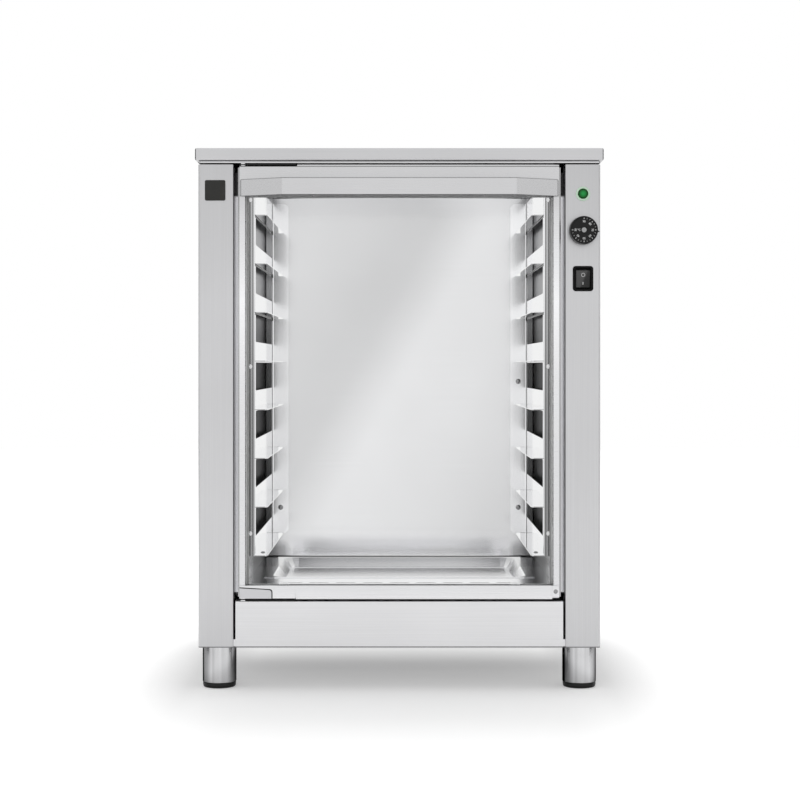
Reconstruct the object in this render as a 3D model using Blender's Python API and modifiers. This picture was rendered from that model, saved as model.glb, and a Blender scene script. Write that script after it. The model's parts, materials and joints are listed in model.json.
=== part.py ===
"""Proofing cabinet: a folded sheet steel cabinet with a left-hung glass door, two tray racks with eight
levels, a floor with a pressed water basin, a control pillar and four levelling feet.

Metres, +Z up. The front faces -Y. The origin is the centre of the floor area that the whole object covers.
"""

import math

import bmesh
import bpy
from mathutils import Matrix, Vector

# Fits and facets shared by all pieces
GAP = 0.0003
OVERRUN = 0.004
MERGE = 0.00001
ROUND_STEPS = 24
CORNER_STEPS = 3
FOLD_STEPS = 2
SMOOTH_ANGLE = math.radians(35)

# Whole cabinet: places are depths behind the worktop's front edge and heights above the ground
TOTAL_HEIGHT = 0.795
BODY_BOTTOM = 0.062
BODY_WIDTH = 0.590
BODY_REAR = 0.555
SHEET = 0.001
SHEET_FOLD = 0.002

# Worktop
WORKTOP_OVERHANG = 0.005
WORKTOP_WIDTH = BODY_WIDTH + 2 * WORKTOP_OVERHANG
WORKTOP_DEPTH = BODY_REAR + WORKTOP_OVERHANG
WORKTOP_THICK = 0.018
WORKTOP_SHEET = 0.0012
WORKTOP_LIP = 0.022
WORKTOP_CORNER = 0.0035

# Roof panel under the worktop
ROOF_FLANGE = 0.0034
ROOF_CORNER = 0.003
ROOF_TO_PILLAR = 0.0023

# Side panels, each folded in one with its pillar
PILLAR_WIDTH = 0.0518
PILLAR_SETBACK = 0.003
PILLAR_RETURN = 0.027
PILLAR_FOLD = 0.003
SIDE_REAR_RETURN = 0.020

# Base panel and lower front panel
BASE_FLANGE = 0.012
BASE_CORNER = 0.004
LOWER_FRONT_HEIGHT = 0.068
LOWER_FRONT_SETBACK = 0.004
LOWER_FRONT_SIDE_GAP = 0.0027

# Rear panel with its vent slots
REAR_SIDE_INSET = 0.004
REAR_END_INSET = 0.0025
REAR_CORNER = 0.003
VENT_LENGTH = 0.070
VENT_WIDTH = 0.005
VENT_PITCH_ACROSS = 0.090
VENT_PITCH_UP = 0.016
VENT_COLUMNS = 4
VENT_ROWS = 3
VENT_END_INSET = 0.060

# Door frame, on which the chamber's front depends
DOOR_SHEET = 0.0012
DOOR_SIDE_GAP = 0.0059
DOOR_SETBACK = 0.0035
DOOR_THICK = 0.022
DOOR_HALF = BODY_WIDTH / 2 - PILLAR_WIDTH - DOOR_SIDE_GAP
DOOR_REAR = DOOR_SETBACK + DOOR_THICK
GASKET_SPACE = 0.0048

# Chamber
CHAMBER_SIDE_SPACE = 0.0665
CHAMBER_REAR_SPACE = 0.145
CHAMBER_LIFT = 0.089
CEILING_BELOW_TOP = 0.033
CHAMBER_WIDTH = BODY_WIDTH - 2 * CHAMBER_SIDE_SPACE
CHAMBER_HALF = CHAMBER_WIDTH / 2
CHAMBER_FRONT = DOOR_REAR + GASKET_SPACE
CHAMBER_REAR = BODY_REAR - CHAMBER_REAR_SPACE
CHAMBER_FLOOR = BODY_BOTTOM + CHAMBER_LIFT
CHAMBER_CEILING = TOTAL_HEIGHT - CEILING_BELOW_TOP
WALL_FRONT_FLANGE = 0.018
WALL_REAR_FLANGE = 0.015
WALL_BELOW_FLOOR = 0.011
BACK_FLANGE = 0.012
BACK_CORNER = 0.003

# Chamber floor: front sill with slots, and the pan with the pressed basin
SILL_DEPTH = 0.0867
SILL_APRON = 0.0165
SLOT_COUNT = 9
SLOT_BRIDGE = 0.010
SLOT_WIDTH = 0.004
SLOT_ROW_MARGIN = 0.0685
SLOT_PITCH = (CHAMBER_WIDTH - 2 * SLOT_ROW_MARGIN) / (SLOT_COUNT - 1)
SLOT_LENGTH = SLOT_PITCH - SLOT_BRIDGE
SLOT_FROM_FRONT = 0.0247
BEAD_MARGIN = 0.0215
BEAD_LENGTH = CHAMBER_WIDTH - 2 * BEAD_MARGIN
BEAD_TAPER = 0.016
BEAD_WIDTH = 0.004
BEAD_HEIGHT = 0.0012
BASIN_SIDE_MARGIN = 0.0345
BASIN_WIDTH = CHAMBER_WIDTH - 2 * BASIN_SIDE_MARGIN
BASIN_FRONT_MARGIN = 0.0045
BASIN_REAR_MARGIN = 0.009
BASIN_DEPTH = 0.016
BASIN_CORNER = 0.024
BASIN_SLOPE = 0.012
BASIN_ROLL = 0.003

# Tray racks
RACK_STANDOFF = 0.0127
RACK_SETBACK = 0.0247
RACK_TOP_CLEARANCE = 0.0115
RACK_SHEET = 0.0012
RACK_REAR_FLANGE = 0.0272
RACK_HALF = CHAMBER_HALF - RACK_STANDOFF
RACK_FRONT = CHAMBER_FRONT + RACK_SETBACK
RACK_TOP = CHAMBER_CEILING - RACK_TOP_CLEARANCE
LEDGE_COUNT = 8
TOP_LEDGE_BELOW_CEILING = 0.060
LOW_LEDGE_ABOVE_FLOOR = 0.0407
LEDGE_TOP = CHAMBER_CEILING - TOP_LEDGE_BELOW_CEILING
LEDGE_PITCH = (LEDGE_TOP - CHAMBER_FLOOR - LOW_LEDGE_ABOVE_FLOOR) / (LEDGE_COUNT - 1)
LEDGE_REACH = 0.0182
LEDGE_CORNER = 0.005
LEDGE_REAR_MARGIN = 0.004
WINDOW_STRIP = 0.0309
WINDOW_HEIGHT = LEDGE_PITCH - WINDOW_STRIP
WINDOW_BELOW_LEDGE = 0.0015
WINDOW_MARGIN = 0.011
WINDOW_CORNER = 0.004
RACK_CORNER_CUT = 0.006

# Door, hung on two pins at its left
RAIL_SHORTER = 0.0028
STILE_FACE = 0.0108
STILE_END_CLEARANCE = 0.0012
TOP_RAIL_HEIGHT = 0.0445
BOTTOM_RAIL_HEIGHT = 0.0187
GLASS_THICK = 0.004
GLASS_EDGE_CLEARANCE = 0.0013
GASKET_WIDTH = 0.009
GASKET_OVER_WALL = 0.006
GASKET_INSIDE = CHAMBER_HALF - GASKET_OVER_WALL
GASKET_FLOOR_COVER = 0.002
GASKET_CEILING_COVER = 0.0035
GASKET_CORNER = 0.004
CLIP_WIDTH = 0.014
CLIP_FROM_EDGE = 0.0673
CLIP_OFFSET = DOOR_HALF - CLIP_FROM_EDGE
CLIP_ABOVE_RAIL = 0.0035
CLIP_IN_RAIL = 0.0085
TOP_STRIP_RISE = 0.0018
TOP_STRIP_CLEARANCE = 0.0015

# Bow handle on the top rail
HANDLE_HEIGHT = 0.025
HANDLE_PROUD = 0.0275
HANDLE_END_MARGIN = 0.0033
HANDLE_SLOPE_LENGTH = 0.064
HANDLE_END = DOOR_HALF - HANDLE_END_MARGIN
HANDLE_FLAT_END = HANDLE_END - HANDLE_SLOPE_LENGTH
HANDLE_SHEET = 0.0012
HANDLE_BEND = 0.006
HANDLE_FOLD = 0.0018

# Hinges
HINGE_INSET = 0.0078
HINGE_DEPTH = 0.0095
HINGE_PLATE_THICK = 0.0027
HINGE_PLATE_LENGTH = 0.078
HINGE_EYE_THICK = 0.0011
HINGE_EYE_RADIUS = 0.0058
HINGE_PIN_RADIUS = 0.003
HINGE_PIN_ENGAGED = 0.009
DOOR_END_GAP = 0.0013
PIN_HEAD_THICK = 0.0013
PIN_HOLE_CLEARANCE = 0.0004

# Door plates at the bottom rail's ends
BACKING_THICK = 0.0008
BACKING_LENGTH = 0.082
ARM_THICK = 0.0015
ARM_LENGTH = 0.047
ARM_HEIGHT = 0.0150
ARM_RISE = 0.0026
ARM_CORNER = 0.004
END_PLATE_THICK = 0.001
END_PLATE_WIDTH = 0.0098
END_PLATE_HEIGHT = 0.0145

# Controls on the right pillar, and the plate on the left one
CONTROL_FROM_SIDE = 0.0255
LAMP_BELOW_TOP = 0.067
CONTROL_X = BODY_WIDTH / 2 - CONTROL_FROM_SIDE
LAMP_HEIGHT = TOTAL_HEIGHT - LAMP_BELOW_TOP
LAMP_RING_RADIUS = 0.0106
LAMP_RING_PROUD = 0.0016
LAMP_LENS_RADIUS = 0.0073
LAMP_DOME = 0.0022
LAMP_BARREL_WALL = 0.0012
LAMP_BARREL_LENGTH = 0.012
KNOB_BELOW_LAMP = 0.0542
KNOB_HEIGHT = LAMP_HEIGHT - KNOB_BELOW_LAMP
KNOB_RADIUS = 0.0204
KNOB_PROUD = 0.016
KNOB_LIFT = 0.0012
KNOB_CHAMFER = 0.0016
KNOB_SKIRT = 0.0035
KNOB_DISH = 0.0008
KNOB_BORE_DEPTH = 0.010
SHAFT_RADIUS = 0.003
SHAFT_HOLE_CLEARANCE = 0.0008
SHAFT_ENGAGED = 0.018
THERMOSTAT_SIZE = 0.040
THERMOSTAT_DEPTH = 0.028
THERMOSTAT_CORNER = 0.003
SWITCH_BELOW_KNOB = 0.0703
SWITCH_HEIGHT = KNOB_HEIGHT - SWITCH_BELOW_KNOB
SWITCH_BEZEL_WIDTH = 0.0292
SWITCH_BEZEL_HEIGHT = 0.037
SWITCH_BEZEL_PROUD = 0.0022
SWITCH_BEZEL_CORNER = 0.0025
SWITCH_BODY_WIDTH = 0.0226
SWITCH_BODY_HEIGHT = 0.0310
SWITCH_BODY_DEPTH = 0.0165
ROCKER_WIDTH = 0.0194
ROCKER_RADIUS = 0.0136
ROCKER_FACE = 0.0056
ROCKER_VALLEY = 0.0040
ROCKER_BACK = 0.0060
ROCKER_PIVOT_DEPTH = 0.0040
ROCKER_TILT = math.radians(9)
BADGE_FROM_SIDE = 0.0248
BADGE_BELOW_TOP = 0.062
BADGE_X = BADGE_FROM_SIDE - BODY_WIDTH / 2
BADGE_HEIGHT = TOTAL_HEIGHT - BADGE_BELOW_TOP
BADGE_SIZE = 0.030
BADGE_THICK = 0.0015
BADGE_CORNER = 0.002

# Heating element under the basin, and its bracket
ELEMENT_RADIUS = 0.004
ELEMENT_RUNS = 4
ELEMENT_SIDE_MARGIN = 0.074
ELEMENT_FRONT_MARGIN = 0.1597
ELEMENT_TURN_MARGIN = 0.025
ELEMENT_TAIL = 0.045
ELEMENT_RUN_SPACING = (BASIN_WIDTH - 2 * ELEMENT_SIDE_MARGIN) / (ELEMENT_RUNS - 1)
ELEMENT_FRONT = CHAMBER_FRONT + ELEMENT_FRONT_MARGIN
ELEMENT_TURN = CHAMBER_REAR - ELEMENT_TURN_MARGIN
ELEMENT_REAR = CHAMBER_REAR + ELEMENT_TAIL
BRACKET_SIDE_MARGIN = 0.025
BRACKET_BEHIND_CHAMBER = 0.018
BRACKET_WIDTH = BASIN_WIDTH - 2 * ELEMENT_SIDE_MARGIN + 2 * BRACKET_SIDE_MARGIN
BRACKET_FROM_FRONT = CHAMBER_REAR + BRACKET_BEHIND_CHAMBER
BRACKET_ABOVE_ELEMENT = 0.006
BRACKET_FOOT = 0.020
BRACKET_SHEET = 0.0015

# Terminal block and cable gland at the back
REAR_WIRING_FROM_SIDE = 0.095
TERMINAL_X = BODY_WIDTH / 2 - REAR_WIRING_FROM_SIDE
TERMINAL_LENGTH = 0.060
TERMINAL_DEPTH = 0.022
TERMINAL_HEIGHT = 0.018
TERMINAL_FROM_REAR = 0.030
TERMINAL_POLES = 5
TERMINAL_HOLE_RADIUS = 0.0025
TERMINAL_HOLE_DEPTH = 0.006
TERMINAL_BEVEL = 0.001
GLAND_ABOVE_BASE = 0.038
GLAND_X = TERMINAL_X
GLAND_HEIGHT = BODY_BOTTOM + GLAND_ABOVE_BASE
GLAND_BORE = 0.0045
GLAND_BARREL = 0.008
GLAND_NUT = 0.012
GLAND_NUT_THICK = 0.005
GLAND_CAP = 0.0095
GLAND_CAP_NOSE = 0.007
GLAND_CAP_LENGTH = 0.009

# Legs and levelling feet
LEG_RADIUS = 0.025
LEG_WALL = 0.0015
LEG_PLATE = 0.003
LEG_PLUG = 0.010
LEG_SIDE_INSET = 0.028
LEG_FRONT_INSET = 0.035
LEG_REAR_INSET = 0.035
LEG_BEVEL = 0.0006
FOOT_PAD_HEIGHT = 0.008
FOOT_PAD_ROUND = 0.002
FOOT_PAD_SHORTER = 0.0006
FOOT_STEM_RADIUS = 0.005
FOOT_STEM_LENGTH = 0.038

# Places worked out from the sizes above
HINGE_X = HINGE_INSET - DOOR_HALF
WORKTOP_BOTTOM = TOTAL_HEIGHT - WORKTOP_THICK
ROOF_TOP = WORKTOP_BOTTOM - GAP
ROOF_BOTTOM = ROOF_TOP - ROOF_FLANGE
PILLAR_TOP = ROOF_BOTTOM - ROOF_TO_PILLAR
LOWER_FRONT_TOP = BODY_BOTTOM + LOWER_FRONT_HEIGHT
UPPER_PLATE_TOP = ROOF_BOTTOM - GAP
UPPER_PLATE_BOTTOM = UPPER_PLATE_TOP - HINGE_PLATE_THICK
LOWER_PLATE_BOTTOM = LOWER_FRONT_TOP + GAP
LOWER_PLATE_TOP = LOWER_PLATE_BOTTOM + HINGE_PLATE_THICK
DOOR_TOP = UPPER_PLATE_BOTTOM - DOOR_END_GAP
DOOR_BOTTOM = LOWER_PLATE_TOP + DOOR_END_GAP
STILE_FRONT = DOOR_SETBACK + DOOR_SHEET + GAP
STILE_REAR = DOOR_REAR - DOOR_SHEET - GAP
GLASS_FRONT = STILE_FRONT + DOOR_SHEET + GAP
GLASS_REAR = GLASS_FRONT + GLASS_THICK
GLASS_TOP = DOOR_TOP - HINGE_PIN_ENGAGED - OVERRUN
GLASS_BOTTOM = DOOR_BOTTOM + HINGE_PIN_ENGAGED + GLASS_EDGE_CLEARANCE
RACK_BACK = CHAMBER_REAR - GAP
PAN_FRONT = CHAMBER_FRONT + SILL_DEPTH + GAP
PAN_REAR = CHAMBER_REAR - GAP
BASE_FRONT = LOWER_FRONT_SETBACK + SHEET + GAP
BASE_REAR = BODY_REAR - SHEET - GAP
BASE_TOP = BODY_BOTTOM + SHEET
REAR_PANEL_REAR = BODY_REAR + GAP + SHEET
GLAND_REAR = REAR_PANEL_REAR + GAP + GLAND_NUT_THICK + GLAND_CAP_LENGTH
HANDLE_FRONT = DOOR_SETBACK - HANDLE_PROUD
HANDLE_TOP = DOOR_TOP - TOP_RAIL_HEIGHT + HANDLE_HEIGHT
FRONT_Y = -(GLAND_REAR + HANDLE_FRONT) / 2
PILLAR_FACE = PILLAR_SETBACK - GAP
ELEMENT_HEIGHT = CHAMBER_FLOOR - BASIN_DEPTH - SHEET - GAP - ELEMENT_RADIUS
FOOT_TOP = FOOT_PAD_HEIGHT + GAP


def y_at(depth):
    """The row's Y of a depth behind the worktop's front edge."""
    return FRONT_Y + depth


# Scene, materials and helpers


def clear_scene():
    for obj in list(bpy.data.objects):
        bpy.data.objects.remove(obj, do_unlink=True)


def new_group(name, hidden=False):
    group = bpy.data.collections.new(name)
    group.hide_render = hidden
    bpy.context.scene.collection.children.link(group)
    return group


def new_material(name, colour, roughness, metallic=0.0, alpha=1.0):
    material = bpy.data.materials.new(name)
    material.use_nodes = True
    shader = material.node_tree.nodes["Principled BSDF"]
    shader.inputs["Base Color"].default_value = (*colour, 1.0)
    shader.inputs["Roughness"].default_value = roughness
    shader.inputs["Metallic"].default_value = metallic
    shader.inputs["Alpha"].default_value = alpha
    return material


clear_scene()
PARTS = new_group("proofing_cabinet")
CUTTERS = new_group("cutters", hidden=True)


def add_object(name, mesh, material=None, cutter=False):
    obj = bpy.data.objects.new(name, mesh)
    if cutter:
        CUTTERS.objects.link(obj)
        obj.hide_render = True
        obj.display_type = "WIRE"
    else:
        PARTS.objects.link(obj)
    if material:
        mesh.materials.clear()
        mesh.materials.append(material)
    return obj


def from_bmesh(name, shape, material=None, cutter=False):
    mesh = bpy.data.meshes.new(name)
    shape.to_mesh(mesh)
    shape.free()
    return add_object(name, mesh, material, cutter)


def settle(obj):
    """Makes the object's modifiers part of its mesh, and shades it smooth up to a sharp edge."""
    graph = bpy.context.evaluated_depsgraph_get()
    mesh = bpy.data.meshes.new_from_object(obj.evaluated_get(graph))
    obj.modifiers.clear()
    obj.data = mesh
    mesh.shade_smooth()
    mesh.set_sharp_from_angle(angle=SMOOTH_ANGLE)
    return obj


def set_origin(obj, point):
    """Moves the object's origin to a point and leaves its shape where it is."""
    shift = Vector(point) - obj.location
    obj.data.transform(Matrix.Translation(-shift))
    obj.location = point


def combine(obj, other, operation):
    step = obj.modifiers.new(operation.lower(), "BOOLEAN")
    step.operation = operation
    step.solver = "EXACT"
    step.object = other


def cut(obj, cutter):
    combine(obj, cutter, "DIFFERENCE")


def join(obj, other):
    combine(obj, other, "UNION")


def rounded_path(points, radius, steps=FOLD_STEPS, closed=False):
    """The corners of a path in a plane made into arcs of one radius."""
    corners = [Vector(point) for point in points]
    count = len(corners)
    found = []
    for index, corner in enumerate(corners):
        if not closed and index in (0, count - 1):
            found.append(corner)
            continue
        before = (corners[index - 1] - corner).normalized()
        after = (corners[(index + 1) % count] - corner).normalized()
        half = before.angle(after) / 2
        middle = corner + (before + after).normalized() * (radius / math.sin(half))
        start = corner + before * (radius / math.tan(half)) - middle
        turn = start.angle_signed(corner + after * (radius / math.tan(half)) - middle)
        for step in range(steps + 1):
            found.append(middle + Matrix.Rotation(-turn * step / steps, 2) @ start)
    kept = []
    for index, point in enumerate(found):
        first = index == 0 and not closed
        if first or (point - found[index - 1]).length > MERGE:
            kept.append(point)
    return kept


def space_point(axis, u, v, along):
    """A point of a plane across an axis: (y, z) across X, (x, z) across Y and (x, y) across Z."""
    if axis == "X":
        return Vector((along, u, v))
    if axis == "Y":
        return Vector((u, along, v))
    return Vector((u, v, along))


def thicken(obj, thickness, inside):
    """Gives an open surface its wall, on the side where the inside point lies."""
    sides = [(Vector(inside) - face.center).dot(face.normal) for face in obj.data.polygons]
    towards = max(sides, key=abs)
    wall = obj.modifiers.new("wall", "SOLIDIFY")
    wall.thickness = thickness
    wall.offset = 1.0 if towards > 0 else -1.0
    wall.use_even_offset = True


def folded_sheet(name, path, axis, start, stop, thickness, inside, material, fold=SHEET_FOLD):
    """A sheet folded along a path that lies across an axis, from start to stop along it."""
    shape = bmesh.new()
    corners = rounded_path(path, fold) if fold else [Vector(point) for point in path]
    row = [shape.verts.new(space_point(axis, u, v, start)) for u, v in corners]
    edges = [shape.edges.new(pair) for pair in zip(row, row[1:])]
    pulled = bmesh.ops.extrude_edge_only(shape, edges=edges)["geom"]
    ends = [item for item in pulled if isinstance(item, bmesh.types.BMVert)]
    bmesh.ops.translate(shape, vec=space_point(axis, 0, 0, stop - start), verts=ends)
    obj = from_bmesh(name, shape, material)
    thicken(obj, thickness, inside)
    return obj


def outline_solid(name, outlines, axis, start, stop, material=None, cutter=False):
    """A flat solid between start and stop along an axis. An outline inside another is a hole."""
    curve = bpy.data.curves.new(name, "CURVE")
    curve.dimensions = "2D"
    curve.fill_mode = "BOTH"
    curve.extrude = (stop - start) / 2
    for outline in outlines:
        spline = curve.splines.new("POLY")
        spline.points.add(len(outline) - 1)
        spline.use_cyclic_u = True
        for point, (u, v) in zip(spline.points, outline):
            point.co = (u, v, 0, 1)
    guide = bpy.data.objects.new(name + "_outline", curve)
    bpy.context.scene.collection.objects.link(guide)
    turns = {
        "X": Matrix(((0, 0, 1, 0), (1, 0, 0, 0), (0, 1, 0, 0), (0, 0, 0, 1))),
        "Y": Matrix(((1, 0, 0, 0), (0, 0, -1, 0), (0, 1, 0, 0), (0, 0, 0, 1))),
        "Z": Matrix.Identity(4),
    }
    middle = space_point(axis, 0, 0, (start + stop) / 2)
    graph = bpy.context.evaluated_depsgraph_get()
    mesh = bpy.data.meshes.new_from_object(guide.evaluated_get(graph))
    bpy.data.objects.remove(guide)
    shape = bmesh.new()
    shape.from_mesh(mesh)
    bpy.data.meshes.remove(mesh)
    bmesh.ops.remove_doubles(shape, verts=shape.verts, dist=MERGE)
    bmesh.ops.transform(shape, matrix=Matrix.Translation(middle) @ turns[axis], verts=shape.verts)
    return from_bmesh(name, shape, material, cutter)


def rectangle(low_u, low_v, high_u, high_v, corner=0.0, steps=CORNER_STEPS):
    points = [(low_u, low_v), (high_u, low_v), (high_u, high_v), (low_u, high_v)]
    return rounded_path(points, corner, steps, closed=True) if corner else points


def circle(centre_u, centre_v, radius, steps=ROUND_STEPS):
    turns = [2 * math.pi * step / steps for step in range(steps)]
    return [(centre_u + radius * math.cos(turn), centre_v + radius * math.sin(turn)) for turn in turns]


def obround(centre_u, centre_v, length, width):
    """A slot's outline with round ends."""
    half_length, half_width = length / 2, width / 2
    return rectangle(
        centre_u - half_length,
        centre_v - half_width,
        centre_u + half_length,
        centre_v + half_width,
        half_width,
        FOLD_STEPS,
    )


def block_cutter(name, low, high):
    return block(name, low, high, cutter=True)


def block(name, low, high, material=None, cutter=False):
    shape = bmesh.new()
    bmesh.ops.create_cube(shape, size=1)
    low, high = Vector(low), Vector(high)
    bmesh.ops.scale(shape, vec=high - low, verts=shape.verts)
    bmesh.ops.translate(shape, vec=(low + high) / 2, verts=shape.verts)
    return from_bmesh(name, shape, material, cutter)


def turned(name, profile, foot, axis, material=None, closed=False, cutter=False, steps=ROUND_STEPS):
    """A turned solid. The profile's (radius, height) points run down its outer side, from the top."""
    shape = bmesh.new()
    row = [shape.verts.new((radius, 0, height)) for radius, height in profile]
    for pair in zip(row, row[1:]):
        shape.edges.new(pair)
    if closed:
        shape.edges.new((row[-1], row[0]))
    obj = from_bmesh(name, shape, material, cutter)
    spin = obj.modifiers.new("turn", "SCREW")
    spin.steps = steps
    spin.render_steps = steps
    spin.use_merge_vertices = True
    spin.merge_threshold = MERGE
    settle(obj)
    obj.rotation_euler = Vector(axis).to_track_quat("Z", "Y").to_euler()
    obj.location = foot
    return obj


def ring_of(shape, centre, half_u, half_v, corner, height):
    low_u, low_v = centre[0] - half_u, centre[1] - half_v
    high_u, high_v = centre[0] + half_u, centre[1] + half_v
    return [shape.verts.new((u, v, height)) for u, v in rectangle(low_u, low_v, high_u, high_v, corner)]


def lofted(name, rings, material=None, cap_first=False, cap_last=True):
    """A surface through rounded rectangles: (centre, half length, half width, corner, height) each."""
    shape = bmesh.new()
    loops = [ring_of(shape, *ring) for ring in rings]
    for lower, upper in zip(loops, loops[1:]):
        for index in range(len(lower)):
            last = index - 1
            shape.faces.new((lower[last], lower[index], upper[index], upper[last]))
    if cap_first:
        shape.faces.new(reversed(loops[0]))
    if cap_last:
        shape.faces.new(loops[-1])
    return from_bmesh(name, shape, material)


def folded_tray(name, centre, half_u, half_v, corner, section, thickness, inside, material, fold=SHEET_FOLD):
    """A tray folded up along its edges. Its section runs in (inset, height) from its rim to its floor."""
    rings = []
    for inset, height in rounded_path(section, fold):
        rings.append((centre, half_u - inset, half_v - inset, max(corner - inset, corner / 2), height))
    obj = lofted(name, rings, material)
    thicken(obj, thickness, inside)
    return obj


# Finishes

WORKTOP_STEEL = new_material("worktop_steel", (0.60, 0.60, 0.61), 0.34, 1.0)
PILLAR_STEEL = new_material("pillar_steel", (0.62, 0.62, 0.63), 0.36, 1.0)
PANEL_STEEL = new_material("panel_steel", (0.70, 0.70, 0.71), 0.36, 1.0)
CHAMBER_STEEL = new_material("chamber_steel", (0.72, 0.72, 0.73), 0.30, 1.0)
WALL_STEEL = new_material("wall_steel", (0.30, 0.30, 0.31), 0.40, 1.0)
RACK_STEEL = new_material("rack_steel", (0.76, 0.76, 0.77), 0.30, 1.0)
DOOR_STEEL = new_material("door_steel", (0.70, 0.70, 0.71), 0.30, 1.0)
HINGE_STEEL = new_material("hinge_steel", (0.42, 0.42, 0.43), 0.40, 1.0)
PIN_STEEL = new_material("pin_steel", (0.78, 0.78, 0.79), 0.20, 1.0)
LEG_STEEL = new_material("leg_steel", (0.60, 0.60, 0.61), 0.30, 1.0)
DOOR_GLASS = new_material("door_glass", (0.92, 0.95, 0.95), 0.02, 0.0, 0.15)
GASKET_RUBBER = new_material("gasket_rubber", (0.10, 0.10, 0.10), 0.70)
CONTROL_PLASTIC = new_material("control_plastic", (0.03, 0.03, 0.03), 0.45)
LAMP_RING_PLASTIC = new_material("lamp_ring_plastic", (0.72, 0.74, 0.74), 0.35)
LAMP_LENS = new_material("lamp_lens", (0.02, 0.55, 0.16), 0.15)
BADGE_PLASTIC = new_material("badge_plastic", (0.06, 0.06, 0.07), 0.35)
FOOT_PLASTIC = new_material("foot_plastic", (0.03, 0.03, 0.03), 0.55)
ELEMENT_STEEL = new_material("element_steel", (0.34, 0.33, 0.31), 0.50, 1.0)
TERMINAL_PLASTIC = new_material("terminal_plastic", (0.80, 0.80, 0.76), 0.55)


# Casing


def make_worktop():
    """A slab folded from sheet, with a lip turned in under its flange."""
    section = [(WORKTOP_LIP, WORKTOP_BOTTOM), (0, WORKTOP_BOTTOM), (0, TOTAL_HEIGHT), (WORKTOP_LIP, TOTAL_HEIGHT)]
    middle = (0, y_at(WORKTOP_DEPTH / 2))
    folded_tray(
        "worktop",
        middle,
        WORKTOP_WIDTH / 2,
        WORKTOP_DEPTH / 2,
        WORKTOP_CORNER,
        section,
        WORKTOP_SHEET,
        (*middle, WORKTOP_BOTTOM + WORKTOP_THICK / 2),
        WORKTOP_STEEL,
    )


def make_roof_panel():
    """The panel that closes the body under the worktop. Its low flange is the inset strip in front."""
    section = [(0, ROOF_BOTTOM), (0, ROOF_TOP), (PILLAR_WIDTH, ROOF_TOP)]
    front, rear = PILLAR_SETBACK, REAR_PANEL_REAR
    middle = (0, y_at((front + rear) / 2))
    folded_tray(
        "roof_panel",
        middle,
        BODY_WIDTH / 2,
        (rear - front) / 2,
        ROOF_CORNER,
        section,
        SHEET,
        (*middle, BODY_BOTTOM),
        PILLAR_STEEL,
    )


def make_side_panel(name, side):
    """The outer side, folded round into the pillar in front and a return flange behind."""
    outer = side * BODY_WIDTH / 2
    inner = outer - side * PILLAR_WIDTH
    front, rear = y_at(PILLAR_SETBACK), y_at(BODY_REAR)
    path = [
        (inner, y_at(PILLAR_SETBACK + PILLAR_RETURN)),
        (inner, front),
        (outer, front),
        (outer, rear),
        (outer - side * SIDE_REAR_RETURN, rear),
    ]
    inside = ((inner + outer) / 2, y_at(PILLAR_SETBACK + PILLAR_RETURN / 2), BODY_BOTTOM)
    panel = folded_sheet(name, path, "Z", BODY_BOTTOM, PILLAR_TOP, SHEET, inside, PILLAR_STEEL, PILLAR_FOLD)
    # A notch in the pillar's return lets the base panel's flange pass
    reach = side * (SHEET + PILLAR_FOLD + GAP)
    across = sorted((inner - side * OVERRUN, inner + reach))
    notch = block_cutter(
        name + "_notch",
        (across[0], y_at(BASE_FRONT - GAP), BODY_BOTTOM - OVERRUN),
        (across[1], y_at(CHAMBER_FRONT), BODY_BOTTOM + BASE_FLANGE + GAP),
    )
    cut(panel, notch)
    return panel


def cut_control_openings(panel):
    """The round holes for the lamp and the shaft, and the window for the switch."""
    start, stop = y_at(PILLAR_SETBACK - OVERRUN), y_at(PILLAR_SETBACK + OVERRUN)
    lamp = circle(CONTROL_X, LAMP_HEIGHT, LAMP_LENS_RADIUS + LAMP_BARREL_WALL + 3 * GAP)
    shaft = circle(CONTROL_X, KNOB_HEIGHT, SHAFT_RADIUS + SHAFT_HOLE_CLEARANCE)
    half_width, half_height = SWITCH_BODY_WIDTH / 2 + GAP, SWITCH_BODY_HEIGHT / 2 + GAP
    window = rectangle(
        CONTROL_X - half_width,
        SWITCH_HEIGHT - half_height,
        CONTROL_X + half_width,
        SWITCH_HEIGHT + half_height,
    )
    for name, outline in (("lamp_hole", lamp), ("shaft_hole", shaft), ("switch_window", window)):
        cut(panel, outline_solid(name, [outline], "Y", start, stop, cutter=True))


def make_base_panel():
    """The tray that closes the body from below, its flange turned up inside the panels."""
    section = [(0, BODY_BOTTOM + BASE_FLANGE), (0, BODY_BOTTOM), (PILLAR_WIDTH, BODY_BOTTOM)]
    middle = (0, y_at((BASE_FRONT + BASE_REAR) / 2))
    folded_tray(
        "base_panel",
        middle,
        BODY_WIDTH / 2 - SHEET - GAP,
        (BASE_REAR - BASE_FRONT) / 2,
        BASE_CORNER,
        section,
        SHEET,
        (*middle, CHAMBER_FLOOR),
        PANEL_STEEL,
    )


def make_lower_front_panel():
    """The panel between the pillars, its top edge folded back under the lower hinge plate."""
    half = BODY_WIDTH / 2 - PILLAR_WIDTH - LOWER_FRONT_SIDE_GAP
    path = [
        (y_at(CHAMBER_FRONT - GAP), LOWER_FRONT_TOP),
        (y_at(LOWER_FRONT_SETBACK), LOWER_FRONT_TOP),
        (y_at(LOWER_FRONT_SETBACK), BODY_BOTTOM),
    ]
    inside = (0, y_at(CHAMBER_FRONT), BODY_BOTTOM)
    folded_sheet("lower_front_panel", path, "X", -half, half, SHEET, inside, PANEL_STEEL)


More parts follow.
